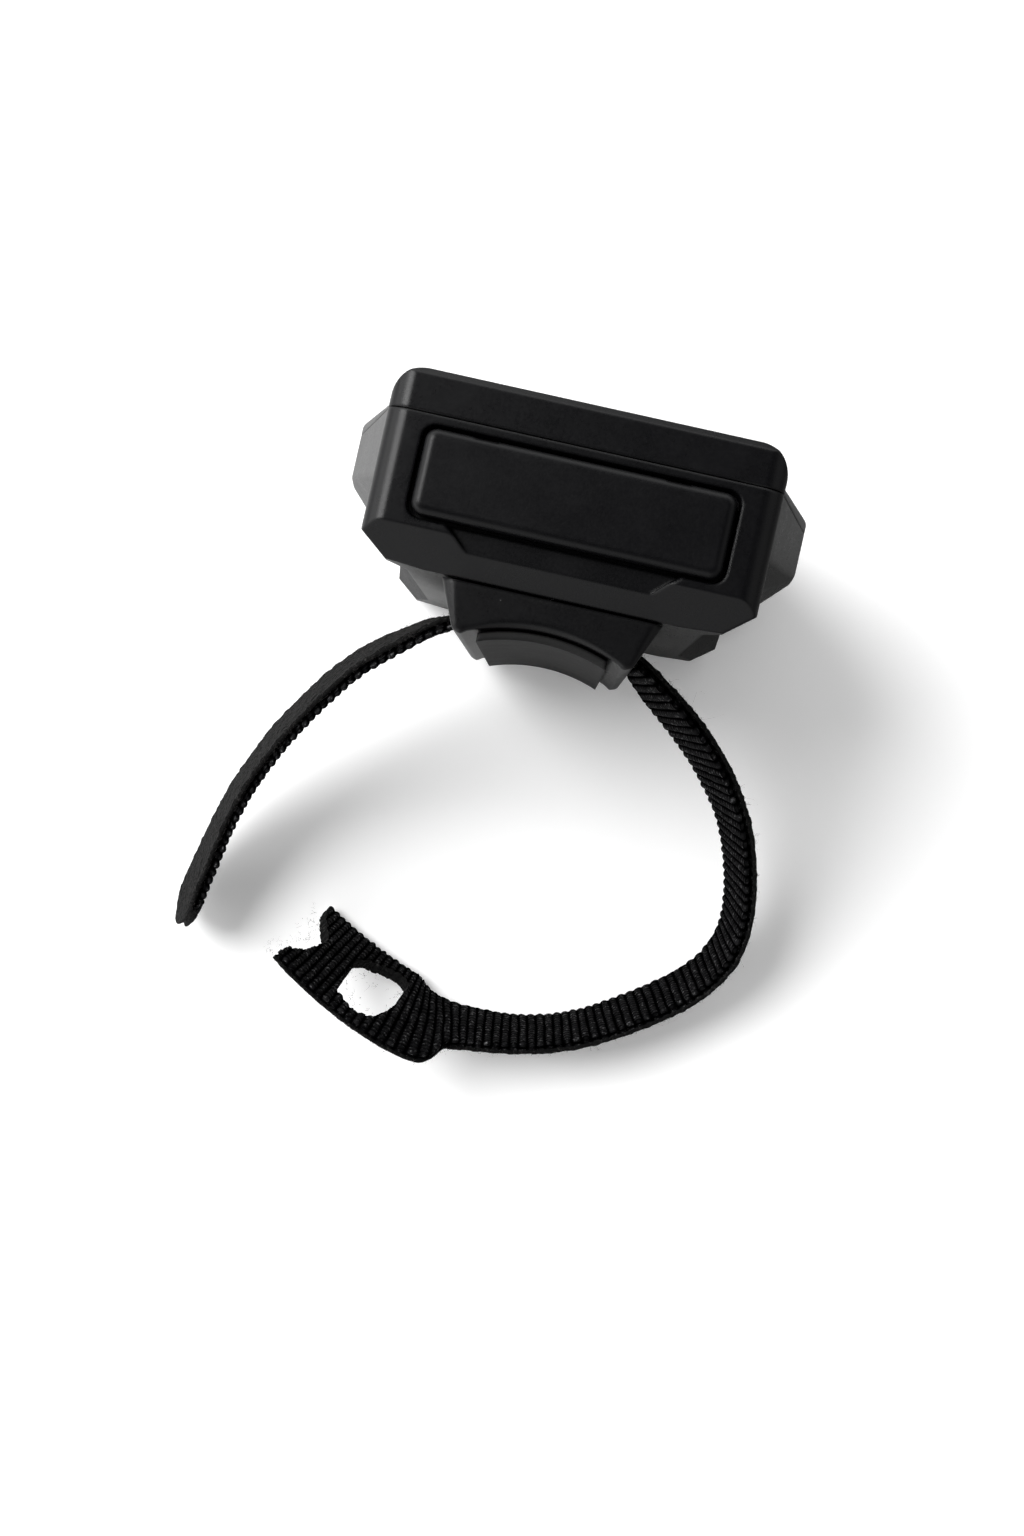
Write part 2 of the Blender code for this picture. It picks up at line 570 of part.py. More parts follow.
# The tie's route: x, y and z of the middle of its width, and how far its upper edge tips away from
# the loop, in degrees. It starts at its free tip, passes through the mount's slot and ends at the
# wide head. The points are set by hand.
TIE_ROUTE = [
    (-45.8, -68.0, 6.7, -19.9), (-44.1, -59.2, 8.0, -19.5), (-40.5, -46.8, 13.5, -17.0),
    (-34.8, -35.6, 20.5, -16.5), (-26.8, -25.2, 28.0, -15.0), (-18.8, -18.8, 33.3, -11.0),
    (-12.2, -15.2, 35.9, -3.0), (-6.0, -13.6, 36.2, 0.0), (0.0, -13.5, 36.2, 0.0),
    (6.0, -13.6, 36.2, 0.0), (12.0, -15.7, 35.8, 4.0), (17.6, -19.6, 33.4, 10.0),
    (23.2, -24.0, 29.5, 11.5), (28.0, -28.8, 25.2, 11.0), (32.3, -34.9, 20.5, 10.0),
    (35.3, -42.4, 15.6, 10.0), (36.4, -49.4, 11.5, 10.5), (35.4, -55.0, 8.6, 12.5),
    (32.1, -60.0, 7.0, 15.0), (26.0, -65.0, 6.4, 16.0), (17.6, -70.1, 6.4, 15.0),
    (9.0, -73.0, 6.4, 15.0), (0.0, -73.9, 7.1, 19.0), (-7.4, -73.3, 9.2, 25.0),
    (-15.2, -70.6, 9.7, 25.0), (-22.6, -66.9, 9.7, 24.0), (-28.8, -62.9, 9.7, 22.0),
]


def even_route(route, spacing):
    """A Catmull-Rom curve through the route's points, read at even distances and eased."""
    points = [Vector(point) for point in route]
    points = [2 * points[0] - points[1]] + points + [2 * points[-1] - points[-2]]
    fine = []
    for before, start, end, after in zip(points, points[1:], points[2:], points[3:]):
        for step in range(30):
            t = step / 30
            fine.append(0.5 * (2 * start + (end - before) * t
                               + (2 * before - 5 * start + 4 * end - after) * t ** 2
                               + (3 * start - before - 3 * end + after) * t ** 3))
    fine.append(points[-2])
    travelled = [0.0]
    for start, end in zip(fine, fine[1:]):
        travelled.append(travelled[-1] + (end.xyz - start.xyz).length)
    count = round(travelled[-1] / spacing)
    even, index = [], 0
    for number in range(count + 1):
        target = travelled[-1] * number / count
        while index < len(fine) - 2 and travelled[index + 1] < target:
            index += 1
        share = (target - travelled[index]) / (travelled[index + 1] - travelled[index])
        even.append(fine[index].lerp(fine[index + 1], min(share, 1.0)))
    return even, travelled[-1]


def tie_edges(from_end):
    """Positions across the tie, lower edge to upper edge, at a distance from the head's end. The
    two middle ones are the sides of the head's slot."""
    spread_low = min(max((32.0 - from_end) / 9.0, 0.0), 1.0)
    spread_high = min(max((28.5 - from_end) / 4.0, 0.0), 1.0)
    return (-6.0 - 3.2 * spread_low, -3.5 - 2.0 * spread_low, 4.0 + 3.5 * spread_high, 6.0 + 5.0 * spread_high)


def make_tie():
    spacing = 2.5
    points, length = even_route(TIE_ROUTE, spacing)
    bm = bmesh.new()
    rows = []
    for number, point in enumerate(points):
        before, after = points[max(number - 1, 0)], points[min(number + 1, len(points) - 1)]
        along = (after.xyz - before.xyz).normalized()
        outward = Z.cross(along).normalized()
        upright = along.cross(outward).normalized()
        lean = math.radians(point.w)
        across = upright * math.cos(lean) + outward * math.sin(lean)
        from_end = length * (1 - number / (len(points) - 1))
        row = []
        for column, offset in enumerate(tie_edges(from_end)):
            place = point.xyz + across * offset
            if column in (1, 2):
                place -= along * (4.0 * max(1 - from_end / 8.0, 0.0))
            else:
                place += along * (3.0 * max(1 - (length - from_end) / 6.0, 0.0))
            row.append(bm.verts.new(place))
        rows.append((row, from_end))
    for (row, here), (following, there) in zip(rows, rows[1:]):
        for column in range(3):
            if column == 1 and 11.4 < (here + there) / 2 < 21.4:
                continue
            bm.faces.new((row[column], following[column], following[column + 1], row[column + 1]))
    tie = new_object("stand_tie", bm, finish("stand_tie", (0.018, 0.018, 0.02), 0.9))
    skin = tie.modifiers.new("thickness", "SOLIDIFY")
    skin.thickness = TIE_THICKNESS * MM
    skin.offset = 0.0
    skin.use_even_offset = True
    return tie


def main():
    clear_scene()
    make_rear_shell()
    make_front_shell()
    make_gasket()
    make_overlay()
    make_case_screws()
    make_port_cover()
    make_hinge_pin()
    make_ports()
    make_test_button()
    make_channel_dial()
    make_power_slider()
    make_status_light()
    make_board()
    make_antenna()
    make_battery()
    make_mount_base()
    make_saddle_pad()
    make_tie()


main()
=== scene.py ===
"""The looks of a wireless flash trigger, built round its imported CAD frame. Lengths in this file are
millimetres of the shared frame unless a name ends in _m: the housing stands on its far end, z = 0,
+Y points out of its front face and +Z runs to the end with the port cover."""

import math

import bmesh
import bpy
import numpy as np
from mathutils import Matrix, Vector


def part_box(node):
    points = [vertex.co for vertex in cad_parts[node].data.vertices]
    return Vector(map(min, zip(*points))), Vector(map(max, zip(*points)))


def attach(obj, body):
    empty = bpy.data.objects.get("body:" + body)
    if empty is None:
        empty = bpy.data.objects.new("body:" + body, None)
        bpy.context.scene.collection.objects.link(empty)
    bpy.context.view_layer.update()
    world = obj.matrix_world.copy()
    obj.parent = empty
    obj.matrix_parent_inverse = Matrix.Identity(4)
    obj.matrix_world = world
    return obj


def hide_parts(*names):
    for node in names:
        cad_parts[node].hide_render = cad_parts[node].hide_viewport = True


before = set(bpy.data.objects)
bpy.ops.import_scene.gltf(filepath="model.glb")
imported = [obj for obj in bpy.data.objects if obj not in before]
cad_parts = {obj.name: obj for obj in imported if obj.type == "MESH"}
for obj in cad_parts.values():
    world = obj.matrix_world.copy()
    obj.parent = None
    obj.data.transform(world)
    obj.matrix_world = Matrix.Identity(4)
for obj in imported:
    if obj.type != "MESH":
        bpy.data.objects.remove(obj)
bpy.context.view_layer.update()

MM = 0.001
X, Y, Z = Vector((1, 0, 0)), Vector((0, 1, 0)), Vector((0, 0, 1))


def box_mm(node):
    """A CAD node's lowest and highest corners."""
    low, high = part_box(node)
    return low / MM, high / MM


# ---------------------------------------------------------------- camera, floor and light

CAMERA_AT = (4.438, -33.415, 332.608)
CAMERA_TURN = (0.188, 1.0206, 12.7017)
# The key's direction, its spread in degrees and its power. COVE is the surround's grey by height, and
# its strength falls from COVE_LEFT to COVE_RIGHT away from COVE_BRIGHT. The floor is FLOOR_SHOWN grey
# with a painted glow of FLOOR_LIFT that only the camera sees and that lightens its shadows, and bounces a
# colour painted from BOUNCE_LEFT to BOUNCE_RIGHT within BOUNCE_REACH, as painted shade on the object's side
# away from the key.
KEY_FROM = (-0.569, 0.233, 0.788)
KEY_SPREAD = 34.0
KEY_POWER = 2.9
COVE = ((0.0, 0.8), (1.0, 0.022), (0.5, 0.85), (0.72, 0.18), (0.86, 0.04))
FLOOR_SHOWN, FLOOR_LIFT = 0.98, 0.08
BOUNCE_LEFT, BOUNCE_RIGHT = 0.66, 0.12
BOUNCE_REACH = 60.0
COVE_BRIGHT = (-0.9, 0.4, 0.0)
COVE_LEFT, COVE_RIGHT = 3.4, 0.5


def set_stage():
    scene = bpy.context.scene
    camera = bpy.data.objects.new("camera", bpy.data.cameras.new("camera"))
    camera.data.lens = 50
    camera.data.sensor_width = 36
    camera.location = Vector(CAMERA_AT) * MM
    camera.rotation_euler = [math.radians(angle) for angle in CAMERA_TURN]
    camera.data.clip_start = 0.01
    scene.collection.objects.link(camera)
    scene.camera = camera
    scene.view_settings.view_transform = "Standard"

    bm = bmesh.new()
    bmesh.ops.create_grid(bm, x_segments=1, y_segments=1, size=3.0)
    mesh = bpy.data.meshes.new("floor")
    bm.to_mesh(mesh)
    bm.free()
    show("floor", mesh, floor_material())

    softbox("key", KEY_FROM, KEY_SPREAD, KEY_POWER)
    set_world()


def floor_material():
    """White paper for the camera, with a painted glow that only the camera sees and that lightens the shadows
    on it. It bounces less light back onto the object than it shows, and least on the side away from the key:
    the colour it bounces is painted darker towards that side, as painted shade on the object's side away
    from the key."""
    material = new_material("floor_white", (1.0, 1.0, 1.0), 1.0, specular=0.0)
    n = Nodes(material)
    seen = n.add("LightPath").outputs["Is Camera Ray"]
    # painted shade: the colour the floor bounces onto the object is darker towards +x, away from the key
    bounce = n.between(n.parts()[0], -BOUNCE_REACH * MM, BOUNCE_REACH * MM, BOUNCE_LEFT, BOUNCE_RIGHT)
    # painted glow: only the camera sees the floor glow by FLOOR_LIFT, which lightens the floor's shadows
    n.finish(Base_Color=n.between(seen, 0.0, 1.0, bounce, FLOOR_SHOWN), Emission_Color=(1, 1, 1),
             Emission_Strength=n.maths("MULTIPLY", seen, FLOOR_LIFT))
    return material


def softbox(name, direction, spread, power):
    """A far softbox: light from a direction, spread over an angle in degrees, the same all over the floor."""
    light = bpy.data.lights.new(name, "SUN")
    light.energy = power
    light.angle = math.radians(spread)
    lamp = bpy.data.objects.new(name, light)
    lamp.location = Vector(direction)
    lamp.rotation_euler = Vector(direction).to_track_quat("Z", "Y").to_euler()
    bpy.context.scene.collection.objects.link(lamp)


def set_world():
    """Bright towards the horizon and dark overhead, as in a white cove under a dark ceiling, and
    brighter towards COVE_BRIGHT."""
    world = bpy.data.worlds.new("cove")
    bpy.context.scene.world = world
    world.use_nodes = True
    n = Nodes(world, "Background", "Generated")
    ramp = n.add("ValToRGB", Fac=n.parts()[2])
    points = ramp.color_ramp.elements
    for number, (height, grey) in enumerate(COVE):
        point = points[number] if number < 2 else points.new(height)
        point.position = height
        point.color = (grey, grey, grey, 1)
    towards = n.add("VectorMath")
    towards.operation = "DOT_PRODUCT"
    towards.inputs[1].default_value = -Vector(COVE_BRIGHT)
    n.link(n.place, towards.inputs[0])
    strength = n.between(towards.outputs["Value"], -0.8, 0.8, COVE_LEFT, COVE_RIGHT)
    n.finish(Color=ramp.outputs[0], Strength=strength)


# ---------------------------------------------------------------- materials

def new_material(name, colour, roughness, metallic=0.0, specular=0.5):
    material = bpy.data.materials.new(name)
    material.use_nodes = True
    shader = material.node_tree.nodes["Principled BSDF"]
    shader.inputs["Base Color"].default_value = (*colour, 1)
    shader.inputs["Roughness"].default_value = roughness
    shader.inputs["Metallic"].default_value = metallic
    shader.inputs["Specular IOR Level"].default_value = specular
    return material


def shade(colour, factor):
    return tuple(factor * part for part in colour)


class Nodes:
    """Short calls for the nodes of a material or world. A material's places are its object's own, in
    metres. Inputs are given by name, with _ for a space."""

    def __init__(self, owner, shader="Principled BSDF", places="Object"):
        self.tree = owner.node_tree
        self.shader = self.tree.nodes[shader]
        self.place = self.add("TexCoord").outputs[places]

    def link(self, source, target):
        self.tree.links.new(source, target)

    def put(self, socket, value):
        """Sets a number or a colour on a socket, or links a source to it."""
        if isinstance(value, tuple):
            socket.default_value = (*value, 1)
        elif isinstance(value, (int, float)):
            socket.default_value = value
        else:
            self.link(value, socket)

    def add(self, kind, **inputs):
        node = self.tree.nodes.new("ShaderNode" + kind)
        for name, value in inputs.items():
            self.put(node.inputs[name.replace("_", " ")], value)
        return node

    def finish(self, **inputs):
        for name, value in inputs.items():
            self.put(self.shader.inputs[name.replace("_", " ")], value)

    def stretch(self, scale):
        node = self.add("Mapping", Vector=self.place)
        node.inputs["Scale"].default_value = scale
        return node.outputs[0]

    def noise(self, scale, detail=2.0, roughness=0.5, place=None, distortion=0.0):
        node = self.add("TexNoise", Scale=scale, Detail=detail, Roughness=roughness,
                        Distortion=distortion, Vector=place or self.place)
        return node.outputs["Fac"]

    def cells(self, scale, place=None):
        return self.add("TexVoronoi", Scale=scale, Vector=place or self.place).outputs["Distance"]

    def between(self, value, low, high, out_low=0.0, out_high=1.0):
        node = self.add("MapRange", Value=value, From_Min=low, From_Max=high, To_Min=out_low, To_Max=out_high)
        return node.outputs[0]

    def swing(self, noise, low=0.0, high=1.0):
        """A noise, which mostly stays within 0.3 to 0.7, spread over two other values."""
        return self.between(noise, 0.3, 0.7, low, high)

    def maths(self, operation, first, *others):
        """One operation on a value, or on several taken two at a time."""
        for other in others or (0,):
            node = self.add("Math")
            node.operation = operation
            self.put(node.inputs[0], first)
            self.put(node.inputs[1], other)
            first = node.outputs[0]
        return first

    def mix(self, share, first, second):
        node = self.add("Mix")
        node.data_type = "RGBA"
        for index, value in ((0, share), (6, first), (7, second)):
            self.put(node.inputs[index], value)
        return node.outputs[2]

    def attribute(self, name):
        node = self.add("Attribute")
        node.attribute_name = name
        return node.outputs["Fac"]

    def parts(self):
        """The x, y and z of a place."""
        return self.add("SeparateXYZ", Vector=self.place).outputs[:3]

    def inside(self, value, low, high):
        """1 where the value lies between the two limits, otherwise 0."""
        above = self.maths("GREATER_THAN", value, low)
        return self.maths("MULTIPLY", above, self.maths("LESS_THAN", value, high))

    def soft_edges(self, radius):
        node = self.add("Bevel", Radius=radius * MM)
        node.samples = 6
        return node.outputs[0]

    def bump(self, height, depth, strength=1.0, over=None):
        node = self.add("Bump", Strength=strength, Distance=depth * MM, Height=height)
        if over is not None:
            self.link(over, node.inputs["Normal"])
        return node.outputs[0]


def moulded(name, colour, roughness, grain=0.02, speck=0.6, worn=(0.10, 0.10, 0.10), specular=0.5, edge=0.0):
    """Moulded plastic or rubber: a fine grain, patches of slightly different gloss, sparse dust specks,
    and edges that shade as rounded to the edge radius."""
    material = new_material(name, colour, roughness, specular=specular)
    n = Nodes(material)
    patches = n.noise(180, 4, 0.6)
    fine = n.noise(2600, 2, 0.6)
    gloss = n.maths("ADD", n.swing(patches, roughness - 0.02, roughness + 0.02), n.swing(fine, -0.03, 0.03))
    dust = n.between(n.cells(150), 0.010, 0.016, speck, 0.0)
    tone = n.mix(n.swing(patches), shade(colour, 0.92), shade(colour, 1.1))
    over = n.soft_edges(edge) if edge else None
    n.finish(Base_Color=n.mix(dust, tone, worn), Roughness=gloss,
             Normal=n.bump(n.noise(4200, 3, 0.65), grain, 0.6, over))
    return material


def metal(name, colour, roughness, scratch_scale=(900, 900, 900)):
    """Bare metal: uneven tone and gloss, with fine scratches drawn along the axis of least scale."""
    material = new_material(name, colour, roughness, metallic=1.0)
    n = Nodes(material)
    patches = n.noise(260, 4, 0.6)
    lines = n.noise(1.0, 3, 0.7, n.stretch(scratch_scale))
    gloss = n.maths("ADD", n.swing(patches, roughness - 0.08, roughness + 0.1), n.swing(lines, -0.05, 0.06))
    n.finish(Base_Color=n.mix(n.swing(patches), shade(colour, 0.78), colour), Roughness=gloss,
             Normal=n.bump(lines, 0.004, 0.6))
    return material


def printed_overlay():
    """The front label: fine-textured dark film printed with tick marks round the dial, a ring round
    the test button, and an open ring and a bar for the slider's two ends."""
    material = new_material("overlay_film", (0.012, 0.012, 0.013), 0.42, specular=0.35)
    n = Nodes(material)
    x, _, z = n.parts()

    def from_centre(centre_x, centre_z):
        across = n.maths("SUBTRACT", x, centre_x * MM)
        up = n.maths("SUBTRACT", z, centre_z * MM)
        squares = n.maths("ADD", n.maths("MULTIPLY", across, across), n.maths("MULTIPLY", up, up))
        return across, up, n.maths("SQRT", squares)

    across, up, reach = from_centre(0, DIAL_Z)
    turns = n.maths("MULTIPLY", n.maths("ARCTAN2", across, up), DIAL_STEPS / (2 * math.pi))
    share = n.maths("FRACT", n.maths("ADD", turns, DIAL_STEPS + 0.5))
    off_tick = n.maths("ABSOLUTE", n.maths("SUBTRACT", share, 0.5))
    ticks = n.maths("MULTIPLY", n.maths("LESS_THAN", off_tick, 0.045), n.inside(reach, 10.1 * MM, 11.2 * MM))
    ring = n.inside(from_centre(0, BUTTON_Z)[2], 6.9 * MM, 7.15 * MM)
    open_ring = n.inside(from_centre(-7.2, SLIDER_Z)[2], 0.55 * MM, 0.8 * MM)
    bar = n.maths("MULTIPLY", n.inside(x, 7.0 * MM, 7.3 * MM),
                  n.inside(z, (SLIDER_Z - 0.8) * MM, (SLIDER_Z + 0.8) * MM))
    ink = n.maths("MAXIMUM", n.maths("MAXIMUM", ticks, ring), n.maths("MAXIMUM", open_ring, bar))
    worn = n.between(n.noise(700, 3, 0.7), 0.25, 0.42)
    tone = n.mix(n.noise(150, 3, 0.6), (0.009, 0.009, 0.010), (0.015, 0.015, 0.016))
    n.finish(Base_Color=n.mix(n.maths("MULTIPLY", ink, worn), tone, (0.62, 0.62, 0.6)),
             Roughness=n.swing(n.noise(300, 3, 0.6), 0.36, 0.5),
             Normal=n.bump(n.noise(5200, 2, 0.5), 0.015, 0.6))
    return material


def dial_plastic():
    """Black moulding with white paint in the pointer groove."""
    material = moulded("dial_black", (0.006, 0.006, 0.0065), 0.38, grain=0.03, specular=0.35)
    n = Nodes(material)
    x, y, z = n.parts()
    groove = n.maths("MULTIPLY", n.inside(x, -0.38 * MM, 0.38 * MM), n.maths("LESS_THAN", y, 14.72 * MM),
                     n.inside(z, (DIAL_Z + 3.1) * MM, (DIAL_Z + 7.9) * MM))
    plain = n.shader.inputs["Base Color"].links[0].from_socket
    n.finish(Base_Color=n.mix(groove, plain, (0.7, 0.7, 0.68)))
    return material


def circuit_board():
    """Green solder mask over copper: traces as a faint raised lighter maze, and tinned pads."""
    material = new_material("board_green", (0.01, 0.06, 0.025), 0.35)
    n = Nodes(material)
    flat = (1, 0.01, 1)
    traces = n.between(n.cells(420, n.stretch(flat)), 0.34, 0.38)
    pads = n.between(n.cells(650, n.stretch(flat)), 0.10, 0.13, 1.0, 0.0)
    mask = n.mix(traces, (0.006, 0.045, 0.018), (0.02, 0.11, 0.045))
    n.finish(Base_Color=n.mix(pads, mask, (0.55, 0.52, 0.45)), Metallic=n.maths("MULTIPLY", pads, 0.9),
             Normal=n.bump(n.maths("ADD", traces, pads), 0.03, 0.7))
    return material


def wrapped_foil():
    """The battery pouch: silver foil with soft wrinkles and a dull grey label film at its middle."""
    material = new_material("battery_foil", (0.55, 0.56, 0.58), 0.32, metallic=0.9)
    n = Nodes(material)
    wrinkles = n.noise(170, 5, 0.62, n.stretch((1.0, 1.0, 0.45)), distortion=0.6)
    label = n.inside(n.parts()[2], 24.0 * MM, 46.0 * MM)
    n.finish(Base_Color=n.mix(label, (0.58, 0.59, 0.61), (0.16, 0.17, 0.18)),
             Metallic=n.maths("SUBTRACT", 0.92, n.maths("MULTIPLY", label, 0.9)),
             Roughness=n.swing(wrinkles, 0.24, 0.42), Normal=n.bump(wrinkles, 0.35, 0.7))
    return material


def open_foam():
    material = new_material("foam_black", (0.03, 0.03, 0.031), 0.95, specular=0.15)
    n = Nodes(material)
    cells = n.cells(1700)
    n.finish(Base_Color=n.mix(n.between(cells, 0.1, 0.5), (0.008, 0.008, 0.008), (0.055, 0.055, 0.056)),
             Normal=n.bump(cells, 0.3))
    return material


def clear_lens():
    material = new_material("lens_clear", (0.82, 0.86, 0.84), 0.12)
    n = Nodes(material)
    n.finish(Transmission_Weight=0.75, IOR=1.49, Roughness=n.swing(n.noise(900, 3, 0.6), 0.08, 0.2))
    return material


# ---------------------------------------------------------------- mesh helpers

def show(name, mesh, *materials):
    """A new object in the scene that holds this mesh. It rides on nothing yet."""
    for material in materials:
        mesh.materials.append(material)
    obj = bpy.data.objects.new(name, mesh)
    bpy.context.scene.collection.objects.link(obj)
    return obj


def new_object(name, bm, *materials):
    """A mesh object from a bmesh in millimetres."""
    bmesh.ops.recalc_face_normals(bm, faces=bm.faces)
    bmesh.ops.scale(bm, vec=(MM, MM, MM), verts=bm.verts)
    mesh = bpy.data.meshes.new(name)
    bm.to_mesh(mesh)
    bm.free()
    return show(name, mesh, *materials)


def boolean(target, tool, operation="DIFFERENCE"):
    modifier = target.modifiers.new(operation.lower(), "BOOLEAN")
    modifier.operation = operation
    modifier.solver = "EXACT"
    modifier.object = tool
    return target


def bevel(obj, width, segments=3, angle=24.0):
    modifier = obj.modifiers.new("edges", "BEVEL")
    modifier.width = width * MM
    modifier.segments = segments
    modifier.limit_method = "ANGLE"
    modifier.angle_limit = math.radians(angle)
    return obj


def settle(obj, angle=28.0):
    """Makes the modifiers part of the mesh, removes their cutters, and shades it with sharp edges."""
    tools, waiting = [], [obj]
    while waiting:
        for modifier in waiting.pop().modifiers:
            tool = getattr(modifier, "object", None)
            if tool is not None and tool not in tools:
                tools.append(tool)
                waiting.append(tool)
    graph = bpy.context.evaluated_depsgraph_get()
    mesh = bpy.data.meshes.new_from_object(obj.evaluated_get(graph))
    obj.modifiers.clear()
    obj.data = mesh
    for tool in tools:
        bpy.data.objects.remove(tool, do_unlink=True)
    mesh.shade_smooth()
    mesh.set_sharp_from_angle(angle=math.radians(angle))
    modifier = obj.modifiers.new("flat_faces", "WEIGHTED_NORMAL")
    modifier.keep_sharp = True
    modifier.weight = 80
    return obj


def place_piece(obj, body, node=None):
    """Rides the piece on a body, and hides the CAD nodes it stands for."""
    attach(obj, body)
    if node:
        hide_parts(*([node] if isinstance(node, str) else node))
    return obj


def box(name, low, high):
    bm = bmesh.new()
    size = Vector(high) - Vector(low)
    place = Matrix.Translation((Vector(low) + Vector(high)) / 2) @ Matrix.Diagonal((*size, 1.0))
    bmesh.ops.create_cube(bm, size=1.0, matrix=place)
    return new_object(name, bm)


def rod(name, start, end, radius, sides=48):
    bm = bmesh.new()
    start, end = Vector(start), Vector(end)
    turn = Z.rotation_difference(end - start).to_matrix().to_4x4()
    place = Matrix.Translation((start + end) / 2) @ turn
    bmesh.ops.create_cone(bm, cap_ends=True, segments=sides, radius1=radius, radius2=radius,
                          depth=(end - start).length, matrix=place)
    return new_object(name, bm)


def hole(target, x, z, low_y, radius, sides):
    """A round hole through the front face."""
    boolean(target, rod("hole", (x, low_y, z), (x, FRONT_REACH, z), radius, sides))


def outline(corners, steps=6):
    """Points of a polygon whose corners, each (a, b, radius), are rounded. Anticlockwise."""
    points = []
    count = len(corners)
    for index, (a, b, radius) in enumerate(corners):
        corner = Vector((a, b))
        if radius <= 0:
            points.append(corner)
            continue
        before = (Vector(corners[index - 1][:2]) - corner).normalized()
        after = (Vector(corners[(index + 1) % count][:2]) - corner).normalized()
        half = before.angle(after) / 2
        middle = corner + (before + after).normalized() * (radius / math.sin(half))
        start = corner + before * (radius / math.tan(half)) - middle
        end = corner + after * (radius / math.tan(half)) - middle
        sweep = start.angle_signed(end)
        for step in range(steps + 1):
            angle = -sweep * step / steps
            turned = Vector((start.x * math.cos(angle) - start.y * math.sin(angle),
                             start.x * math.sin(angle) + start.y * math.cos(angle)))
            points.append(middle + turned)
    return points


def rectangle(low_a, low_b, high_a, high_b, radius):
    corners = (high_a, high_b), (low_a, high_b), (low_a, low_b), (high_a, low_b)
    return [(*corner, radius) for corner in corners]


def grown(points, distance):
    """The outline moved outwards by a distance, or inwards if it is negative."""
    moved = []
    count = len(points)
    for index, point in enumerate(points):
        before = (point - points[index - 1]).normalized()
        after = (points[(index + 1) % count] - point).normalized()
        out = Vector((before.y + after.y, -before.x - after.x))
        scale = max(1 + before.dot(after), 0.2)
        moved.append(point + out * (distance / scale))
    return moved


def flared(points, profile):
    """Rings that follow one outline, grown by a distance at each height."""
    return [(grown(points, distance), height) for distance, height in profile]


def loft(name, rings, *materials):
    """A closed solid through rings of points, with flat ends."""
    bm = bmesh.new()
    made = [[bm.verts.new(point) for point in ring] for ring in rings]
    for low, high in zip(made, made[1:]):
        for index in range(len(low)):
            after = (index + 1) % len(low)
            bm.faces.new((low[index], low[after], high[after], high[index]))
    bm.faces.new(made[0][::-1])
    bm.faces.new(made[-1])
    return new_object(name, bm, *materials)


def stack(name, rings, facing="Z", *materials):
    """A closed solid through flat outlines, each (points, height)."""
    turn = {"X": lambda p, height: (height, p.x, p.y), "Y": lambda p, height: (p.x, height, p.y),
            "Z": lambda p, height: (p.x, p.y, height)}[facing]
    return loft(name, [[turn(p, height) for p in points] for points, height in rings], *materials)


def rounded_rings(points, low, high, low_radius, high_radius, steps=6):
    """Rings of a plate whose two rims are rounded."""
    rings = []
    for step in range(steps + 1):
        angle = math.pi / 2 * step / steps
        if low_radius > 0 or step == steps:
            rings.append((grown(points, -low_radius * (1 - math.sin(angle))),
                          low + low_radius * (1 - math.cos(angle))))
    for step in range(steps + 1):
        angle = math.pi / 2 * step / steps
        if high_radius > 0 or step == 0:
            rings.append((grown(points, -high_radius * (1 - math.cos(angle))),
                          high - high_radius * (1 - math.sin(angle))))
    return rings


# ---------------------------------------------------------------- housing

LENGTH = 72.5
MID_Z = LENGTH / 2
END_HALF_WIDTH = 25.0
LUG_HALF_WIDTH = 31.2
HALF_DEPTH = 12.0
END_RADIUS = 3.0
FRONT_RADIUS = 4.3
FRONT_BEVEL = 0.9
REAR_CHAMFER = 4.6
WAIST_REACH = 22.4
WAIST_HALF_LENGTH = 24.0
WAIST_SLOPE = 0.31
WALL = 2.0
NEAR_WALL = 5.0
PARTING = (6.42, 6.58)
EDGE_RADIUS = 0.45
RECESS_FLOOR = LENGTH - 2.4
HINGE_Y = 3.0
HINGE_Z = LENGTH - 0.2
EAR_X, EAR_HALF_WIDTH, EAR_RADIUS = 12.0, 1.2, 0.9
OVERLAY = (-18.8, 7.0, 18.8, 65.5)
OVERLAY_FLOOR = 11.1
BUTTON_Z = 50.0
DIAL_Z = 28.5
SLIDER_Z = 13.0
LENS_Z = 60.5
DIAL_STEPS = 16
FRONT_REACH = 14


def plane(direction, through):
    normal = Vector(direction).normalized()
    return normal, normal.dot(Vector(through))


def edge_round(first, second, centre, radius, steps):
    limits = []
    for step in range(1, steps):
        angle = math.pi / 2 * step / steps
        normal = first * math.cos(angle) + second * math.sin(angle)
        limits.append((normal, normal.dot(centre) + radius))
    return limits


def body_limits():
    """Flat limits, each a normal and a distance from the housing's middle, of its middle block."""
    limits = [(Y, HALF_DEPTH), (-Y, HALF_DEPTH), (Z, MID_Z), (-Z, MID_Z)]
    for side in (-1, 1):
        limits.append((X * side, END_HALF_WIDTH))
        centre = Vector((side * (END_HALF_WIDTH - FRONT_RADIUS), HALF_DEPTH - FRONT_RADIUS, 0))
        limits += edge_round(X * side, Y, centre, FRONT_RADIUS, 14)
        for end in (-1, 1):
            centre = Vector((side * (END_HALF_WIDTH - END_RADIUS), 0, end * (MID_Z - END_RADIUS)))
            limits += edge_round(X * side, Z * end, centre, END_RADIUS, 12)
        limits.append(plane((side * 2.75, -3.5, 0), (side * END_HALF_WIDTH, -8.9, 0)))
        limits.append(plane((side * 0.35, -5.0, 0), (side * 16.5, -HALF_DEPTH, 0)))
    for end in (-1, 1):
        limits.append(plane((0, -1, end), (0, -HALF_DEPTH, end * (MID_Z - REAR_CHAMFER))))
        limits.append(plane((0, 1, end), (0, HALF_DEPTH, end * (MID_Z - FRONT_BEVEL))))
    return limits


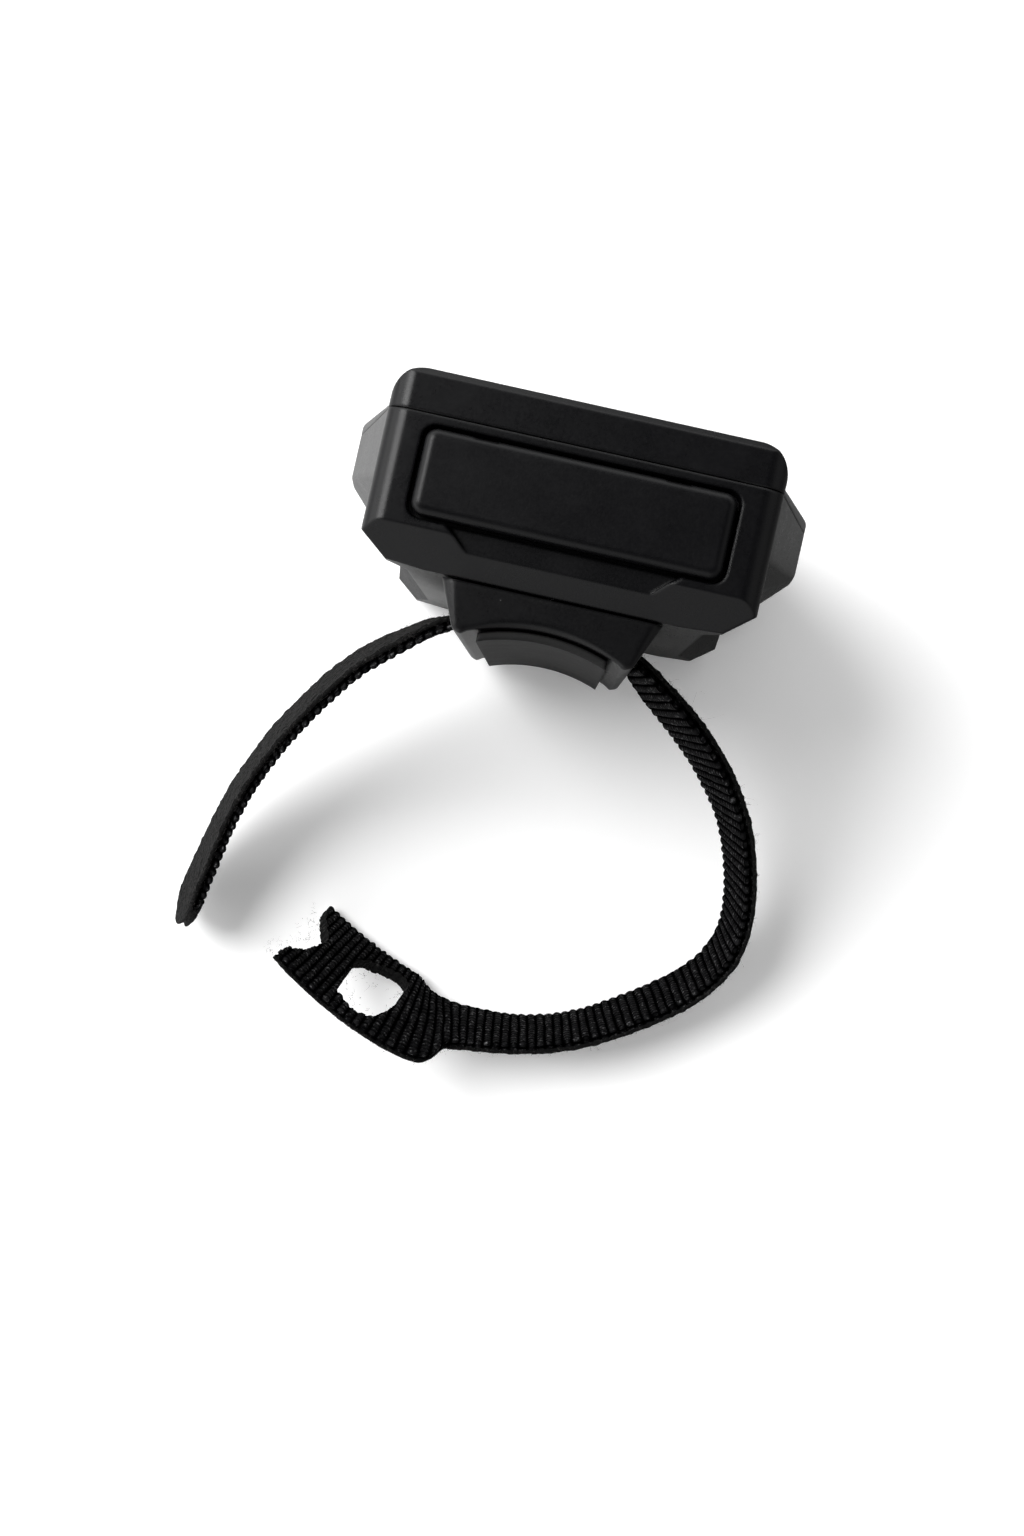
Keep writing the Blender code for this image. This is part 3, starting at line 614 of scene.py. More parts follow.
def waist_limits(side):
    """The space cut from one rear edge between the two end blocks; it runs out towards both of them."""
    facing = Vector((side * 0.79, -0.61, 0)).normalized()
    limits = [(-facing, -WAIST_REACH)]
    for end in (-1, 1):
        slope = Z * (end * WAIST_SLOPE) - facing
        reach = WAIST_SLOPE * WAIST_HALF_LENGTH - WAIST_REACH
        limits.append((slope.normalized(), reach / slope.length))
    return limits


def lug_limits(side):
    """Flat limits of one side lug, which flares from both ends to its flat at mid length."""
    limits = [(X * side, LUG_HALF_WIDTH), (-X * side, -8.0), (Y, HALF_DEPTH), (-Y, 7.0)]
    for end in (-1, 1):
        limits.append((Z * end, MID_Z - 2.1))
        limits.append(plane((side * 30.3, 0, end * 6.3), (side * LUG_HALF_WIDTH, 0, end * 3.0)))
        limits.append(plane((side, 1, end * 0.24), (side * LUG_HALF_WIDTH, 8.0, end * 3.0)))
        limits.append(plane((side * 0.715, -0.692, end * 0.107), (side * LUG_HALF_WIDTH, 0.3, end * 3.0)))
    return limits


def convex(name, limits, inset=0.0, near_inset=0.0):
    bm = bmesh.new()
    bmesh.ops.create_cube(bm, size=200.0)
    for normal, distance in limits:
        moved = distance - (near_inset if normal == Z else inset)
        found = bmesh.ops.bisect_plane(bm, geom=bm.verts[:] + bm.edges[:] + bm.faces[:], dist=1e-5,
                                       plane_co=normal * moved, plane_no=normal, clear_outer=True)
        rim = [item for item in found["geom_cut"] if isinstance(item, bmesh.types.BMEdge)]
        if rim:
            bmesh.ops.contextual_create(bm, geom=rim)
    for vert in bm.verts:
        vert.co = [round(value, 4) for value in vert.co + Z * MID_Z]
    return new_object(name, bm)


def housing_form(name, inset=0.0, near_inset=0.0, rounding=0.0):
    whole = convex(name, body_limits(), inset, near_inset)
    for side in (-1, 1):
        boolean(whole, convex(f"{name}_waist_{side}", waist_limits(side), -inset))
    if rounding:
        bevel(whole, rounding)
    for side in (-1, 1):
        lug = convex(f"{name}_lug_{side}", lug_limits(side), inset, near_inset)
        if rounding:
            bevel(lug, rounding)
        boolean(whole, lug, "UNION")
    return whole


def make_shells(plastic):
    rear = housing_form("rear_shell_skin", rounding=EDGE_RADIUS)
    boolean(rear, box("front_half", (-50, PARTING[0], -20), (50, 40, 100)))
    boolean(rear, housing_form("rear_space", WALL, NEAR_WALL))
    cut_near_end(rear)
    for z in (11.0, 61.5):
        boolean(rear, rod("mount_hole", (0, -13, z), (0, -8, z), 1.4, sides=24))
    rear.data.materials.append(plastic)
    place_piece(settle(rear), "housing", "rear_shell")

    front = housing_form("front_shell_skin", rounding=EDGE_RADIUS)
    boolean(front, box("rear_half", (-50, -40, -20), (50, PARTING[1], 100)))
    boolean(front, housing_form("front_space", WALL, NEAR_WALL))
    low_x, low_z, high_x, high_z = OVERLAY
    rim = outline(rectangle(low_x - 0.25, low_z - 0.25, high_x + 0.25, high_z + 0.25, 3.2), 8)
    rings = flared(rim, [(0.0, OVERLAY_FLOOR), (0.0, 11.85), (0.15, 12.0), (1.0, 12.85)])
    boolean(front, stack("overlay_recess", rings, "Y"))
    cut_control_holes(front, 9)
    front.data.materials.append(plastic)
    place_piece(settle(front), "housing", "front_shell")


def cut_near_end(shell):
    """The port cover's recess, the opening to the ports, the finger notch and the hinge ears."""
    rim = outline(rectangle(-20.0, -6.4, 20.0, 5.3, 1.8), 8)
    rings = flared(rim, [(-0.3, RECESS_FLOOR), (-0.09, RECESS_FLOOR + 0.09), (0.0, RECESS_FLOOR + 0.3),
                         (0.0, LENGTH - 0.22), (0.06, LENGTH - 0.07), (0.2, LENGTH), (0.7, LENGTH + 0.3)])
    boolean(shell, stack("recess", rings))
    opening = outline(rectangle(-16.5, -4.9, 16.5, 1.6, 0.6), 4)
    boolean(shell, stack("port_opening", [(opening, LENGTH - NEAR_WALL - 1), (opening, RECESS_FLOOR + 1)]))
    half = [(14.6, -5.9, 0), (14.6, -6.3, 0), (11.7, -9.05, 0.5), (11.7, -12.5, 0)]
    notch = outline([(-x, y, radius) for x, y, radius in half] + half[::-1], 4)
    rings = flared(notch, [(-0.25, LENGTH - 1.75), (-0.07, LENGTH - 1.68), (0.0, LENGTH - 1.5),
                           (0.05, LENGTH - 0.3), (0.5, LENGTH + 0.15), (1.1, LENGTH + 0.8)])
    boolean(shell, stack("finger_notch", rings))
    low, high = HINGE_Y - EAR_RADIUS, HINGE_Y + EAR_RADIUS
    foot, top = RECESS_FLOOR - 0.5, HINGE_Z + EAR_RADIUS
    profile = outline([(high, foot, 0), (high, top, 0.89), (low, top, 0.89), (low, foot, 0)], 8)
    for side in (-1, 1):
        x = side * EAR_X
        rings = [(profile, x - EAR_HALF_WIDTH), (profile, x + EAR_HALF_WIDTH)]
        boolean(shell, stack("ear", rings, "X"), "UNION")
        boolean(shell, rod("ear_bore", (x - 2, HINGE_Y, HINGE_Z), (x + 2, HINGE_Y, HINGE_Z), 0.5, sides=24))


def cut_control_holes(target, low_y):
    hole(target, 0, BUTTON_Z, low_y, 6.0, 64)
    hole(target, 0, DIAL_Z, low_y, 3.0, 32)
    slot = outline(rectangle(-4.1, SLIDER_Z - 1.8, 4.1, SLIDER_Z + 1.8, 0.8), 5)
    boolean(target, stack("slider_slot", [(slot, low_y), (slot, FRONT_REACH)], "Y"))
    hole(target, 0, LENS_Z, low_y, 1.8, 32)


def make_port_cover(plastic):
    """The cover: every rim rounded, a rim below that plugs the opening, and two pockets for the ears."""
    (low_x, low_y, _), (high_x, high_y, top) = box_mm("port_cover")
    rim = outline(rectangle(low_x, low_y, high_x, high_y, 1.5), 8)
    cover = stack("port_cover_skin", rounded_rings(rim, LENGTH - 1.5, top, 0.35, 1.15, 8), "Z", plastic)
    plug_rim = outline(rectangle(-15.9, -4.1, 15.9, 1.2, 0.8), 5)
    plug = stack("plug", rounded_rings(plug_rim, LENGTH - 3.6, LENGTH - 1.0, 0.3, 0.0, 3))
    space = outline(rectangle(-14.7, -2.9, 14.7, 0.0, 0.5), 4)
    boolean(plug, stack("plug_space", [(space, LENGTH - 5), (space, LENGTH - 1.5)]))
    boolean(cover, plug, "UNION")
    for side in (-1, 1):
        x = side * EAR_X
        low, high = (x - 1.5, HINGE_Y - 1.2, LENGTH - 4), (x + 1.5, HINGE_Y + 4, HINGE_Z + 1.15)
        boolean(cover, box("ear_way", low, high))
    boolean(cover, rod("pin_way", (-25, HINGE_Y, HINGE_Z), (25, HINGE_Y, HINGE_Z), 0.55, sides=24))
    place_piece(settle(cover), "port_cover", "port_cover")


# ---------------------------------------------------------------- saddle mount

SADDLE_RADIUS = 25.0
SADDLE_AXIS_Y = -41.3


def arc(radius, half_width, steps):
    reach = math.asin(half_width / radius)
    angles = [reach * (2 * step / steps - 1) for step in range(steps + 1)]
    return [(radius * math.sin(angle), SADDLE_AXIS_Y + radius * math.cos(angle), 0) for angle in angles]


def make_mount(plastic, rubber):
    (_, _, low_z), (_, top_y, high_z) = box_mm("mount_base")
    corners = [(14.1, top_y, 0), (-14.1, top_y, 0), (-11.5, -18.35, 0.9), (-10.4, -18.75, 0.5)]
    corners += arc(SADDLE_RADIUS, 9.6, 40) + [(10.4, -18.75, 0.5), (11.5, -18.35, 0.9)]
    profile = outline(corners, 5)
    rings = rounded_rings(profile, low_z, high_z, 1.1, 1.1, 7)
    for points, _ in rings:
        for index, point in enumerate(profile):
            keep = min(max((point.y + 19.0) / 2.6, 0.45), 1.0)
            points[index] = point.lerp(points[index], keep)
        for index in (0, 1):
            points[index].y = top_y
    mount = stack("mount_base_skin", rings, "Z", plastic)
    mouth = [(-16, -11), (-16, -19.2), (-12.3, -17.4), (-6.8, -14.95), (6.8, -14.95), (12.3, -17.6),
             (16, -19.4), (16, -11)]
    mouth = outline([(x, y, 0.6 if abs(x) < 15 else 0) for x, y in mouth], 4)
    boolean(mount, stack("tie_slot", [(mouth, 29.2), (mouth, 43.3)]))
    place_piece(settle(mount), "housing", "mount_base")

    (_, _, low_z), (_, _, high_z) = box_mm("saddle_pad")
    band = arc(SADDLE_RADIUS - 0.3, 8.3, 32) + arc(SADDLE_RADIUS - 1.4, 8.3, 32)[::-1]
    profile = outline(band)
    if sum(a.cross(b) for a, b in zip(profile, profile[1:] + profile[:1])) < 0:
        profile = profile[::-1]
    pad = stack("saddle_pad_skin", rounded_rings(profile, low_z, high_z, 0.35, 0.35, 4), "Z", rubber)
    place_piece(settle(pad, 40), "housing", "saddle_pad")


# ---------------------------------------------------------------- front controls

def circle(radius, z, sides):
    angles = [2 * math.pi * step / sides for step in range(sides)]
    return [Vector((radius * math.cos(angle), z + radius * math.sin(angle))) for angle in angles]


def turned(name, profile, z, material, sides=96):
    """A round piece that faces +Y, through (radius, height) points."""
    return stack(name, [(circle(radius, z, sides), height) for radius, height in profile], "Y", material)


def make_overlay(film):
    """The label in the front recess, with a rounded rim and openings for the controls."""
    low_x, low_z, high_x, high_z = OVERLAY
    edge = outline(rectangle(low_x, low_z, high_x, high_z, 3.0), 10)
    label = stack("front_overlay_skin", rounded_rings(edge, 11.4, 12.0, 0.0, 0.18, 4), "Y", film)
    cut_control_holes(label, 11)
    place_piece(settle(label), "housing", "front_overlay")


def make_dial(plastic):
    """The dial: a knurled skirt under a smooth cap, finger grips and a painted pointer."""
    profile = [(8.4, 12.4), (8.8, 12.55), (9.0, 12.8), (9.0, 14.35), (8.9, 14.65), (8.65, 14.88),
               (8.3, 15.0), (7.4, 15.0), (7.2, 14.94), (7.0, 14.86)]
    dial = turned("channel_dial_skin", profile, DIAL_Z, plastic)
    for step in range(DIAL_STEPS):
        angle = 2 * math.pi * (step + 0.5) / DIAL_STEPS
        x, z = 9.7 * math.cos(angle), DIAL_Z + 9.7 * math.sin(angle)
        boolean(dial, rod("grip", (x, 12, z), (x, 16, z), 1.2, sides=32))
    boolean(dial, box("pointer", (-0.35, 14.5, DIAL_Z + 3.2), (0.35, 16, DIAL_Z + 7.8)))
    boolean(dial, rod("shaft", (0, 5.6, DIAL_Z), (0, 12.6, DIAL_Z), 2.5), "UNION")
    bevel(dial, 0.1, 2, 30)
    place_piece(settle(dial, 40), "channel_dial", "channel_dial")


def make_test_button(plastic):
    """The round test button: a soft rounded rim and a shallow dish for a fingertip."""
    profile = [(2.0, 6.4), (2.0, 8.7), (6.55, 8.7), (6.55, 9.7), (5.6, 9.7), (5.6, 12.35), (5.52, 12.65),
               (5.3, 12.88), (5.0, 12.98), (4.7, 12.97), (4.2, 12.9), (3.2, 12.77), (2.0, 12.67),
               (0.8, 12.61)]
    button = settle(turned("test_button_skin", profile, BUTTON_Z, plastic), 40)
    place_piece(button, "test_button", "test_button")


def make_slider(plastic):
    """The slider's knob with three finger ridges, on its flange and stem."""
    middle = -2.0

    def block(name, half_width, low_y, high_y, half_height, x=middle):
        return box(name, (x - half_width, low_y, SLIDER_Z - half_height),
                   (x + half_width, high_y, SLIDER_Z + half_height))

    base = outline(rectangle(middle - 1.8, SLIDER_Z - 1.5, middle + 1.8, SLIDER_Z + 1.5, 0.4), 5)
    knob = stack("power_slider_skin", rounded_rings(base, 9.0, 13.2, 0.0, 0.3, 4), "Y", plastic)
    for step in (-1, 0, 1):
        boolean(knob, block("rib", 0.2, 12.9, 14, 2, middle + 1.0 * step))
    boolean(knob, block("flange", 4.15, 8.6, 9.7, 2.35), "UNION")
    boolean(knob, block("stem", 1, 5.6, 8.9, 1), "UNION")
    bevel(knob, 0.06, 2, 30)
    place_piece(settle(knob), "power_slider", "power_slider")


def make_lens(clear):
    profile = [(2.25, 8.6), (2.25, 9.6), (1.5, 9.6), (1.5, 11.6), (1.42, 11.78), (1.2, 11.88), (0.6, 11.9)]
    lens = turned("status_lens_skin", profile, LENS_Z, clear, 64)
    boolean(lens, rod("pipe", (0, 2.4, LENS_Z), (0, 8.8, LENS_Z), 1.5, sides=64), "UNION")
    place_piece(settle(lens, 40), "housing", "status_lens")


# ---------------------------------------------------------------- pieces kept from the CAD

def dress(material, *nodes, edge=0.12):
    """Gives CAD pieces their finish, a small rounded edge and smooth curved sides."""
    for node in nodes:
        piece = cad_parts[node]
        for place in piece.material_slots:
            place.material = material
        piece.data.shade_smooth()
        piece.data.set_sharp_from_angle(angle=math.radians(35))
        if edge:
            bevel(piece, edge, 2, 35)


def dress_inner_pieces():
    screws = [f"case_screw_{number}" for number in (1, 2, 3, 4)] + ["mount_screw_1", "mount_screw_2"]
    dress(metal("screw_steel_black", (0.09, 0.09, 0.095), 0.34), *screws)
    dress(metal("pin_steel_bright", (0.56, 0.56, 0.58), 0.26, (60, 1800, 1800)), "hinge_pin", edge=0.06)
    dress(moulded("gasket_black", (0.006, 0.006, 0.006), 0.7, specular=0.3), "shell_gasket", edge=0.15)
    dress(moulded("panel_black", (0.006, 0.006, 0.0065), 0.5, grain=0.04, specular=0.35), "port_panel")
    dress(metal("socket_steel", (0.6, 0.6, 0.61), 0.28, (2400, 2400, 120)), "usb_socket", edge=0.08)
    dress(moulded("jack_black", (0.008, 0.008, 0.008), 0.4, grain=0.01), "sync_jack")
    dress(circuit_board(), "main_board", edge=0)
    dress(metal("shield_tin", (0.62, 0.62, 0.6), 0.36, (1500, 1500, 200)), "radio_shield")
    dress(moulded("chip_epoxy", (0.01, 0.01, 0.0105), 0.55), "controller_chip", edge=0.05)
    dress(moulded("switch_black", (0.012, 0.012, 0.012), 0.45, grain=0.01), "test_switch")
    dress(metal("switch_tin", (0.55, 0.55, 0.54), 0.4, (300, 1500, 1500)), "channel_encoder", "power_switch")
    dress(metal("antenna_copper", (0.72, 0.36, 0.16), 0.3), "antenna_coil", edge=0)
    dress(wrapped_foil(), "battery_cell", edge=0.4)
    dress(open_foam(), "battery_foam", edge=0.2)
    for name, colour, roughness, worn, node, edge in (
            ("plug_nylon", (0.62, 0.58, 0.45), 0.5, (0.4, 0.38, 0.32), "battery_plug", 0.12),
            ("wire_red", (0.35, 0.008, 0.008), 0.42, (0.3, 0.05, 0.05), "battery_lead_red", 0),
            ("wire_black", (0.008, 0.008, 0.008), 0.42, (0.10, 0.10, 0.10), "battery_lead_black", 0),
            ("led_package", (0.7, 0.68, 0.5), 0.35, (0.5, 0.5, 0.4), "status_led", 0.05)):
        dress(moulded(name, colour, roughness, grain=0.01, worn=worn), node, edge=edge)


# ---------------------------------------------------------------- stand tie

# The middle line of the tie, as in the CAD: x, y, z of mid width, and how far the top edge leans
# out of the loop, in degrees. It starts at the free tip and ends at the wide head.
TIE_ROUTE = [
    (-45.8, -68.0, 6.7, -19.9), (-44.1, -59.2, 8.0, -19.5), (-40.5, -46.8, 13.5, -17.0),
    (-34.8, -35.6, 20.5, -16.5), (-26.8, -25.2, 28.0, -15.0), (-18.8, -18.8, 33.3, -11.0),
    (-12.2, -15.2, 35.9, -3.0), (-6.0, -13.6, 36.2, 0.0), (0.0, -13.5, 36.2, 0.0),
    (6.0, -13.6, 36.2, 0.0), (12.0, -15.7, 35.8, 4.0), (17.6, -19.6, 33.4, 10.0),
    (23.2, -24.0, 29.5, 11.5), (28.0, -28.8, 25.2, 11.0), (32.3, -34.9, 20.5, 10.0),
    (35.3, -42.4, 15.6, 10.0), (36.4, -49.4, 11.5, 10.5), (35.4, -55.0, 8.6, 12.5),
    (32.1, -60.0, 7.0, 15.0), (26.0, -65.0, 6.4, 16.0), (17.6, -70.1, 6.4, 15.0),
    (9.0, -73.0, 6.4, 15.0), (0.0, -73.9, 7.1, 19.0), (-7.4, -73.3, 9.2, 25.0),
    (-15.2, -70.6, 9.7, 25.0), (-22.6, -66.9, 9.7, 24.0), (-28.8, -62.9, 9.7, 22.0),
]
TIE_STEP = 0.2
TIE_HALF_WIDTH = 6.0
HEAD_LENGTH = 26.5
HEAD_LOW, HEAD_HIGH = -9.2, 11.2
LAYER_MIDDLE = 0.6
LAYER_RADIUS = 0.36
RIB_HEIGHT = 0.46
BEAD = 0.9
RIB_SLANT = 0.5
YARN = 0.32
RIB_COLUMNS = 38
LOOP_COLUMNS = 22
TIE_LOWEST, FIBRE_LOWEST = 0.12, 0.05


def unit(vectors):
    return vectors / np.linalg.norm(vectors, axis=-1, keepdims=True)


class TieLine:
    """The tie's middle line read at even steps, with its directions: along, across (lower edge to
    upper edge) and out of the loop."""

    def __init__(self):
        points = np.array(TIE_ROUTE)
        points = np.vstack([2 * points[0] - points[1], points, 2 * points[-1] - points[-2]])
        t = np.linspace(0, 1, 40, endpoint=False)[:, None]
        runs = [0.5 * (2 * b + (c - a) * t + (2 * a - 5 * b + 4 * c - d) * t ** 2
                       + (3 * b - a - 3 * c + d) * t ** 3)
                for a, b, c, d in zip(points, points[1:], points[2:], points[3:])]
        fine = np.vstack(runs + [points[-2:-1]])
        steps = np.linalg.norm(np.diff(fine[:, :3], axis=0), axis=1)
        travelled = np.concatenate([[0.0], np.cumsum(steps)])
        self.length = travelled[-1]
        self.s = np.linspace(0, self.length, round(self.length / TIE_STEP) + 1)
        even = np.stack([np.interp(self.s, travelled, fine[:, k]) for k in range(4)], axis=1)
        self.centre = even[:, :3]
        self.along = unit(np.gradient(self.centre, axis=0))
        outward = unit(np.cross((0.0, 0.0, 1.0), self.along))
        upright = np.cross(self.along, outward)
        lean = np.radians(even[:, 3:])
        self.across = upright * np.cos(lean) + outward * np.sin(lean)
        self.out = np.cross(self.across, self.along)

    def edges(self, s):
        """Positions of the lower and upper edge: the head flares gently below and steps out above."""
        from_end = self.length - s
        low = np.clip((HEAD_LENGTH + 6.0 - from_end) / 12.0, 0, 1)
        high = np.clip((HEAD_LENGTH + 2.0 - from_end) / 4.0, 0, 1)
        ease = lambda share: share * share * (3 - 2 * share)
        return (-TIE_HALF_WIDTH + (HEAD_LOW + TIE_HALF_WIDTH) * ease(low),
                TIE_HALF_WIDTH + (HEAD_HIGH - TIE_HALF_WIDTH) * ease(high))

    def at(self, s, w, n):
        """Points at distances along, across and out of the middle line, and the three directions there."""
        last = len(self.s) - 1
        row = np.clip(np.rint(np.asarray(s) / self.length * last).astype(int), 0, last)
        point = self.centre[row] + self.across[row] * np.asarray(w)[..., None]
        return (point + self.out[row] * np.asarray(n)[..., None],
                self.along[row], self.across[row], self.out[row])


def wander(a, b, cell_a, cell_b, seed):
    """Smooth random heights from -1 to 1 over two coordinates."""
    table = np.random.default_rng(seed).uniform(-1, 1, (256, 256))
    a, b = np.broadcast_arrays(a / cell_a, b / cell_b)
    a0, b0 = np.floor(a).astype(int), np.floor(b).astype(int)
    fa, fb = a - a0, b - b0
    fa, fb = fa * fa * (3 - 2 * fa), fb * fb * (3 - 2 * fb)
    read = lambda i, j: table[i % 256, j % 256]
    low = read(a0, b0) * (1 - fa) + read(a0 + 1, b0) * fa
    high = read(a0, b0 + 1) * (1 - fa) + read(a0 + 1, b0 + 1) * fa
    return low * (1 - fb) + high * fb


class Weave:
    """The tie's texture at every row of its line. What its methods take is a distance across the tie."""

    def __init__(self, line):
        self.s = line.s[:, None]
        pitch = np.interp(line.s, (0, 110, 140, 165, 200, 230), (1.5, 1.62, 1.55, 1.38, 1.32, 1.26))
        phase = np.cumsum(TIE_STEP / pitch)
        self.phase = phase[:, None]
        self.slant = -RIB_SLANT * line.along[:, 2:3] * np.gradient(phase)[:, None] / TIE_STEP

    def number(self, w):
        """How many ribs lie before a point: wider apart near the mount, and slanted a little where the
        tie climbs or falls."""
        return self.phase + self.slant * w + 0.05 * wander(self.s, w, 6.0, 4.0, 3)

    def rib(self, w):
        """Height of the ribs, 0 to 1: rows of beads with sharp valleys between."""
        turn = self.number(w)
        tall = 0.84 + 0.16 * wander(np.floor(turn), w, 1.0, 2.2, 4)
        beads = 0.6 + 0.4 * np.abs(np.sin(np.pi * (w / BEAD + 0.5 * (np.floor(turn) % 2)))) ** 0.6
        return np.abs(np.sin(np.pi * turn)) ** 0.8 * tall * beads

    def fuzz(self, w):
        return (0.10 * wander(self.s, w, 0.62, 0.7, 5) + 0.06 * wander(self.s, w, 0.3, 0.45, 6)
                + 0.07 * wander(self.s, w, 2.6, 3.1, 7))


def tie_rim(weave, side, edge, bulge):
    """One long edge of the tie: the ribbed layer's rim, the groove between the layers and the loop
    layer's rim, each as distances across and out, and a material number."""
    s = weave.s
    rim = np.radians(np.linspace(22, 158, 5))[None, :]
    groove = np.array([[-0.17, 0.0, 0.17]])
    outwards, back = np.sin(rim), np.cos(rim)
    inner_w = edge - side * 0.3 + side * outwards * (0.10 + 0.38 * bulge)
    inner_n = -LAYER_MIDDLE - back * (0.14 + RIB_HEIGHT * 0.9 * bulge * (back > 0) + 0.16 * (back <= 0))
    deep = (0.55 + 0.28 * wander(s, groove * 3, 0.9, 1.0, 10 + side)) * np.clip(s / 2.5, 0.02, 1.0)
    groove_w = edge - side * (0.35 * np.clip(s / 2.5, 0.0, 1.0) + deep * (1 - 3 * np.abs(groove)))
    uneven = (0.32 + 0.10 * wander(s, groove[:, :1], 0.8, 1.0, 20 + side)
              + 0.05 * wander(s, groove[:, :1], 0.35, 1.0, 25 + side))
    outer_w = edge - side * 0.42 + side * outwards * uneven
    outer_n = LAYER_MIDDLE - 0.02 + np.cos(rim[:, ::-1]) * LAYER_RADIUS * 0.9
    return [(inner_w, inner_n + 0 * s, 0), (groove_w, groove + 0 * s, 0), (outer_w, outer_n + 0 * s, 1)]


def tie_section(line, weave):
    """Once round the tie at every row: distances across and out, and each column's material number."""
    low, high = line.edges(weave.s)
    bulge = weave.rib(high)
    w = low + 0.3 + (high - low - 0.6) * np.linspace(0, 1, RIB_COLUMNS)[None, :]
    columns = [(w, -LAYER_MIDDLE - 0.08 - RIB_HEIGHT * weave.rib(w), 0)]
    columns += tie_rim(weave, 1, high, bulge)
    w = high - 0.35 - (high - low - 0.7) * np.linspace(0, 1, LOOP_COLUMNS)[None, :]
    columns.append((w, LAYER_MIDDLE + LAYER_RADIUS - 0.03 + weave.fuzz(w), 1))
    columns += [(w[:, ::-1], n[:, ::-1], kind) for w, n, kind in tie_rim(weave, -1, low, bulge)[::-1]]
    kinds = np.hstack([np.full(w.shape[1], kind) for w, _, kind in columns])
    return np.hstack([w for w, _, _ in columns]), np.hstack([n for _, n, _ in columns]), kinds


def tube_mesh(name, places):
    """A closed tube, or many, from points in millimetres whose last axes are the ring, the point in its
    ring, and x, y, z. The side faces come first and the two ends last."""
    index = np.arange(places[..., 0].size).reshape(places.shape[:-1])
    after = np.roll(index, -1, axis=-1)
    quads = np.stack([index[..., :-1, :], after[..., :-1, :], after[..., 1:, :], index[..., 1:, :]], axis=-1)
    around = index.shape[-1]
    ends = np.concatenate([index[..., 0, ::-1].reshape(-1, around), index[..., -1, :].reshape(-1, around)])
    mesh = bpy.data.meshes.new(name)
    mesh.from_pydata((places.reshape(-1, 3) * MM).tolist(), [], quads.reshape(-1, 4).tolist() + ends.tolist())
    return mesh


def make_tie(webbing, loops, fibre):
    line = TieLine()
    weave = Weave(line)
    w, n, kinds = tie_section(line, weave)
    tip = np.clip(1 - weave.s / TIE_HALF_WIDTH, 0, 1)
    slide = tip * (TIE_HALF_WIDTH - np.sqrt(np.clip(TIE_HALF_WIDTH ** 2 - w ** 2, 0, None)) * 0.9 - 0.6)
    shrink = 1 - 0.25 * tip ** 3
    places = (line.centre[:, None] + line.across[:, None] * w[..., None]
              + line.out[:, None] * (n * shrink)[..., None] + line.along[:, None] * slide[..., None])
    places[..., 2] = np.maximum(places[..., 2], TIE_LOWEST)

    mesh = tube_mesh("stand_tie_cloth", places)
    tie = show("stand_tie_cloth", mesh, webbing, loops)
    kind = np.concatenate([np.tile(kinds, len(w) - 1), [1, 1]]).astype(np.int32)
    mesh.polygons.foreach_set("material_index", kind)
    attributes = {"along_mm": np.broadcast_to(weave.s, w.shape), "across_mm": w, "rib": weave.rib(w),
                  "rib_number": weave.number(w)}
    for name, values in attributes.items():
        layer = mesh.attributes.new(name, "FLOAT", "POINT")
        layer.data.foreach_set("value", np.ascontiguousarray(values, np.float32).ravel())
    mesh.update()

    for number, shape in enumerate((ragged(SLOT, 0.16, 31), ragged(FISHTAIL, 0.16, 32))):
        cutter = cut_prism(line, f"tie_cut_{number}", shape, loops)
        boolean(tie, cutter).modifiers[-1].solver = "MANIFOLD"
    settle(tie, 66)
    tie.modifiers.clear()
    place_piece(tie, "housing", "stand_tie")
    hairs = make_fibres(line, fibre)


# The slot and the fishtail: distance from the head's end, distance across.
SLOT = [(12.0, -2.8), (11.8, 2.4), (11.9, 7.4), (14.1, 8.8), (16.1, 9.3), (18.6, 7.8), (19.9, 4.5),
        (20.6, 0.7), (20.7, -5.6), (18.6, -6.4), (15.7, -5.6), (13.4, -4.4)]
FISHTAIL = [(-6.0, 15.0), (1.5, 15.0), (1.4, 12.4), (0.8, 10.9), (1.2, 8.2), (2.5, 6.8), (3.2, 5.1),
            (3.8, 2.6), (4.3, 0.3), (4.2, -1.7), (3.2, -3.2), (2.4, -4.3), (1.0, -6.9), (0.8, -8.8),
            (1.6, -10.5), (1.6, -13.0), (-6.0, -13.0)]


def ragged(shape, height, seed, closed=True):
    """A cut's outline, (distance from the head's end, distance across), with the unevenness of cut yarns."""
    chance = np.random.default_rng(seed)
    points = []
    for index, start in enumerate(shape if closed else shape[:-1]):
        start, end = np.array(start), np.array(shape[(index + 1) % len(shape)])
        way = end - start
        size = np.linalg.norm(way)
        side = np.array((way[1], -way[0])) / size
        count = max(1, round(size / YARN))
        for step in range(count):
            points.append(tuple(start + way * step / count + side * chance.uniform(-height, height)))
    return points


def cut_prism(line, name, shape, material):
    """A cutter through the head's thickness, whose outline is given from the end and across."""
    middle = sum(a for a, _ in shape) / len(shape)
    base, along, across, out = line.at(line.length - middle, 0.0, 0.0)
    flat = [base - along * (a - middle) + across * b for a, b in shape]
    rings = [[point + out * depth for point in flat] for depth in (-8.0, 8.0)]
    return loft(name, rings, material)


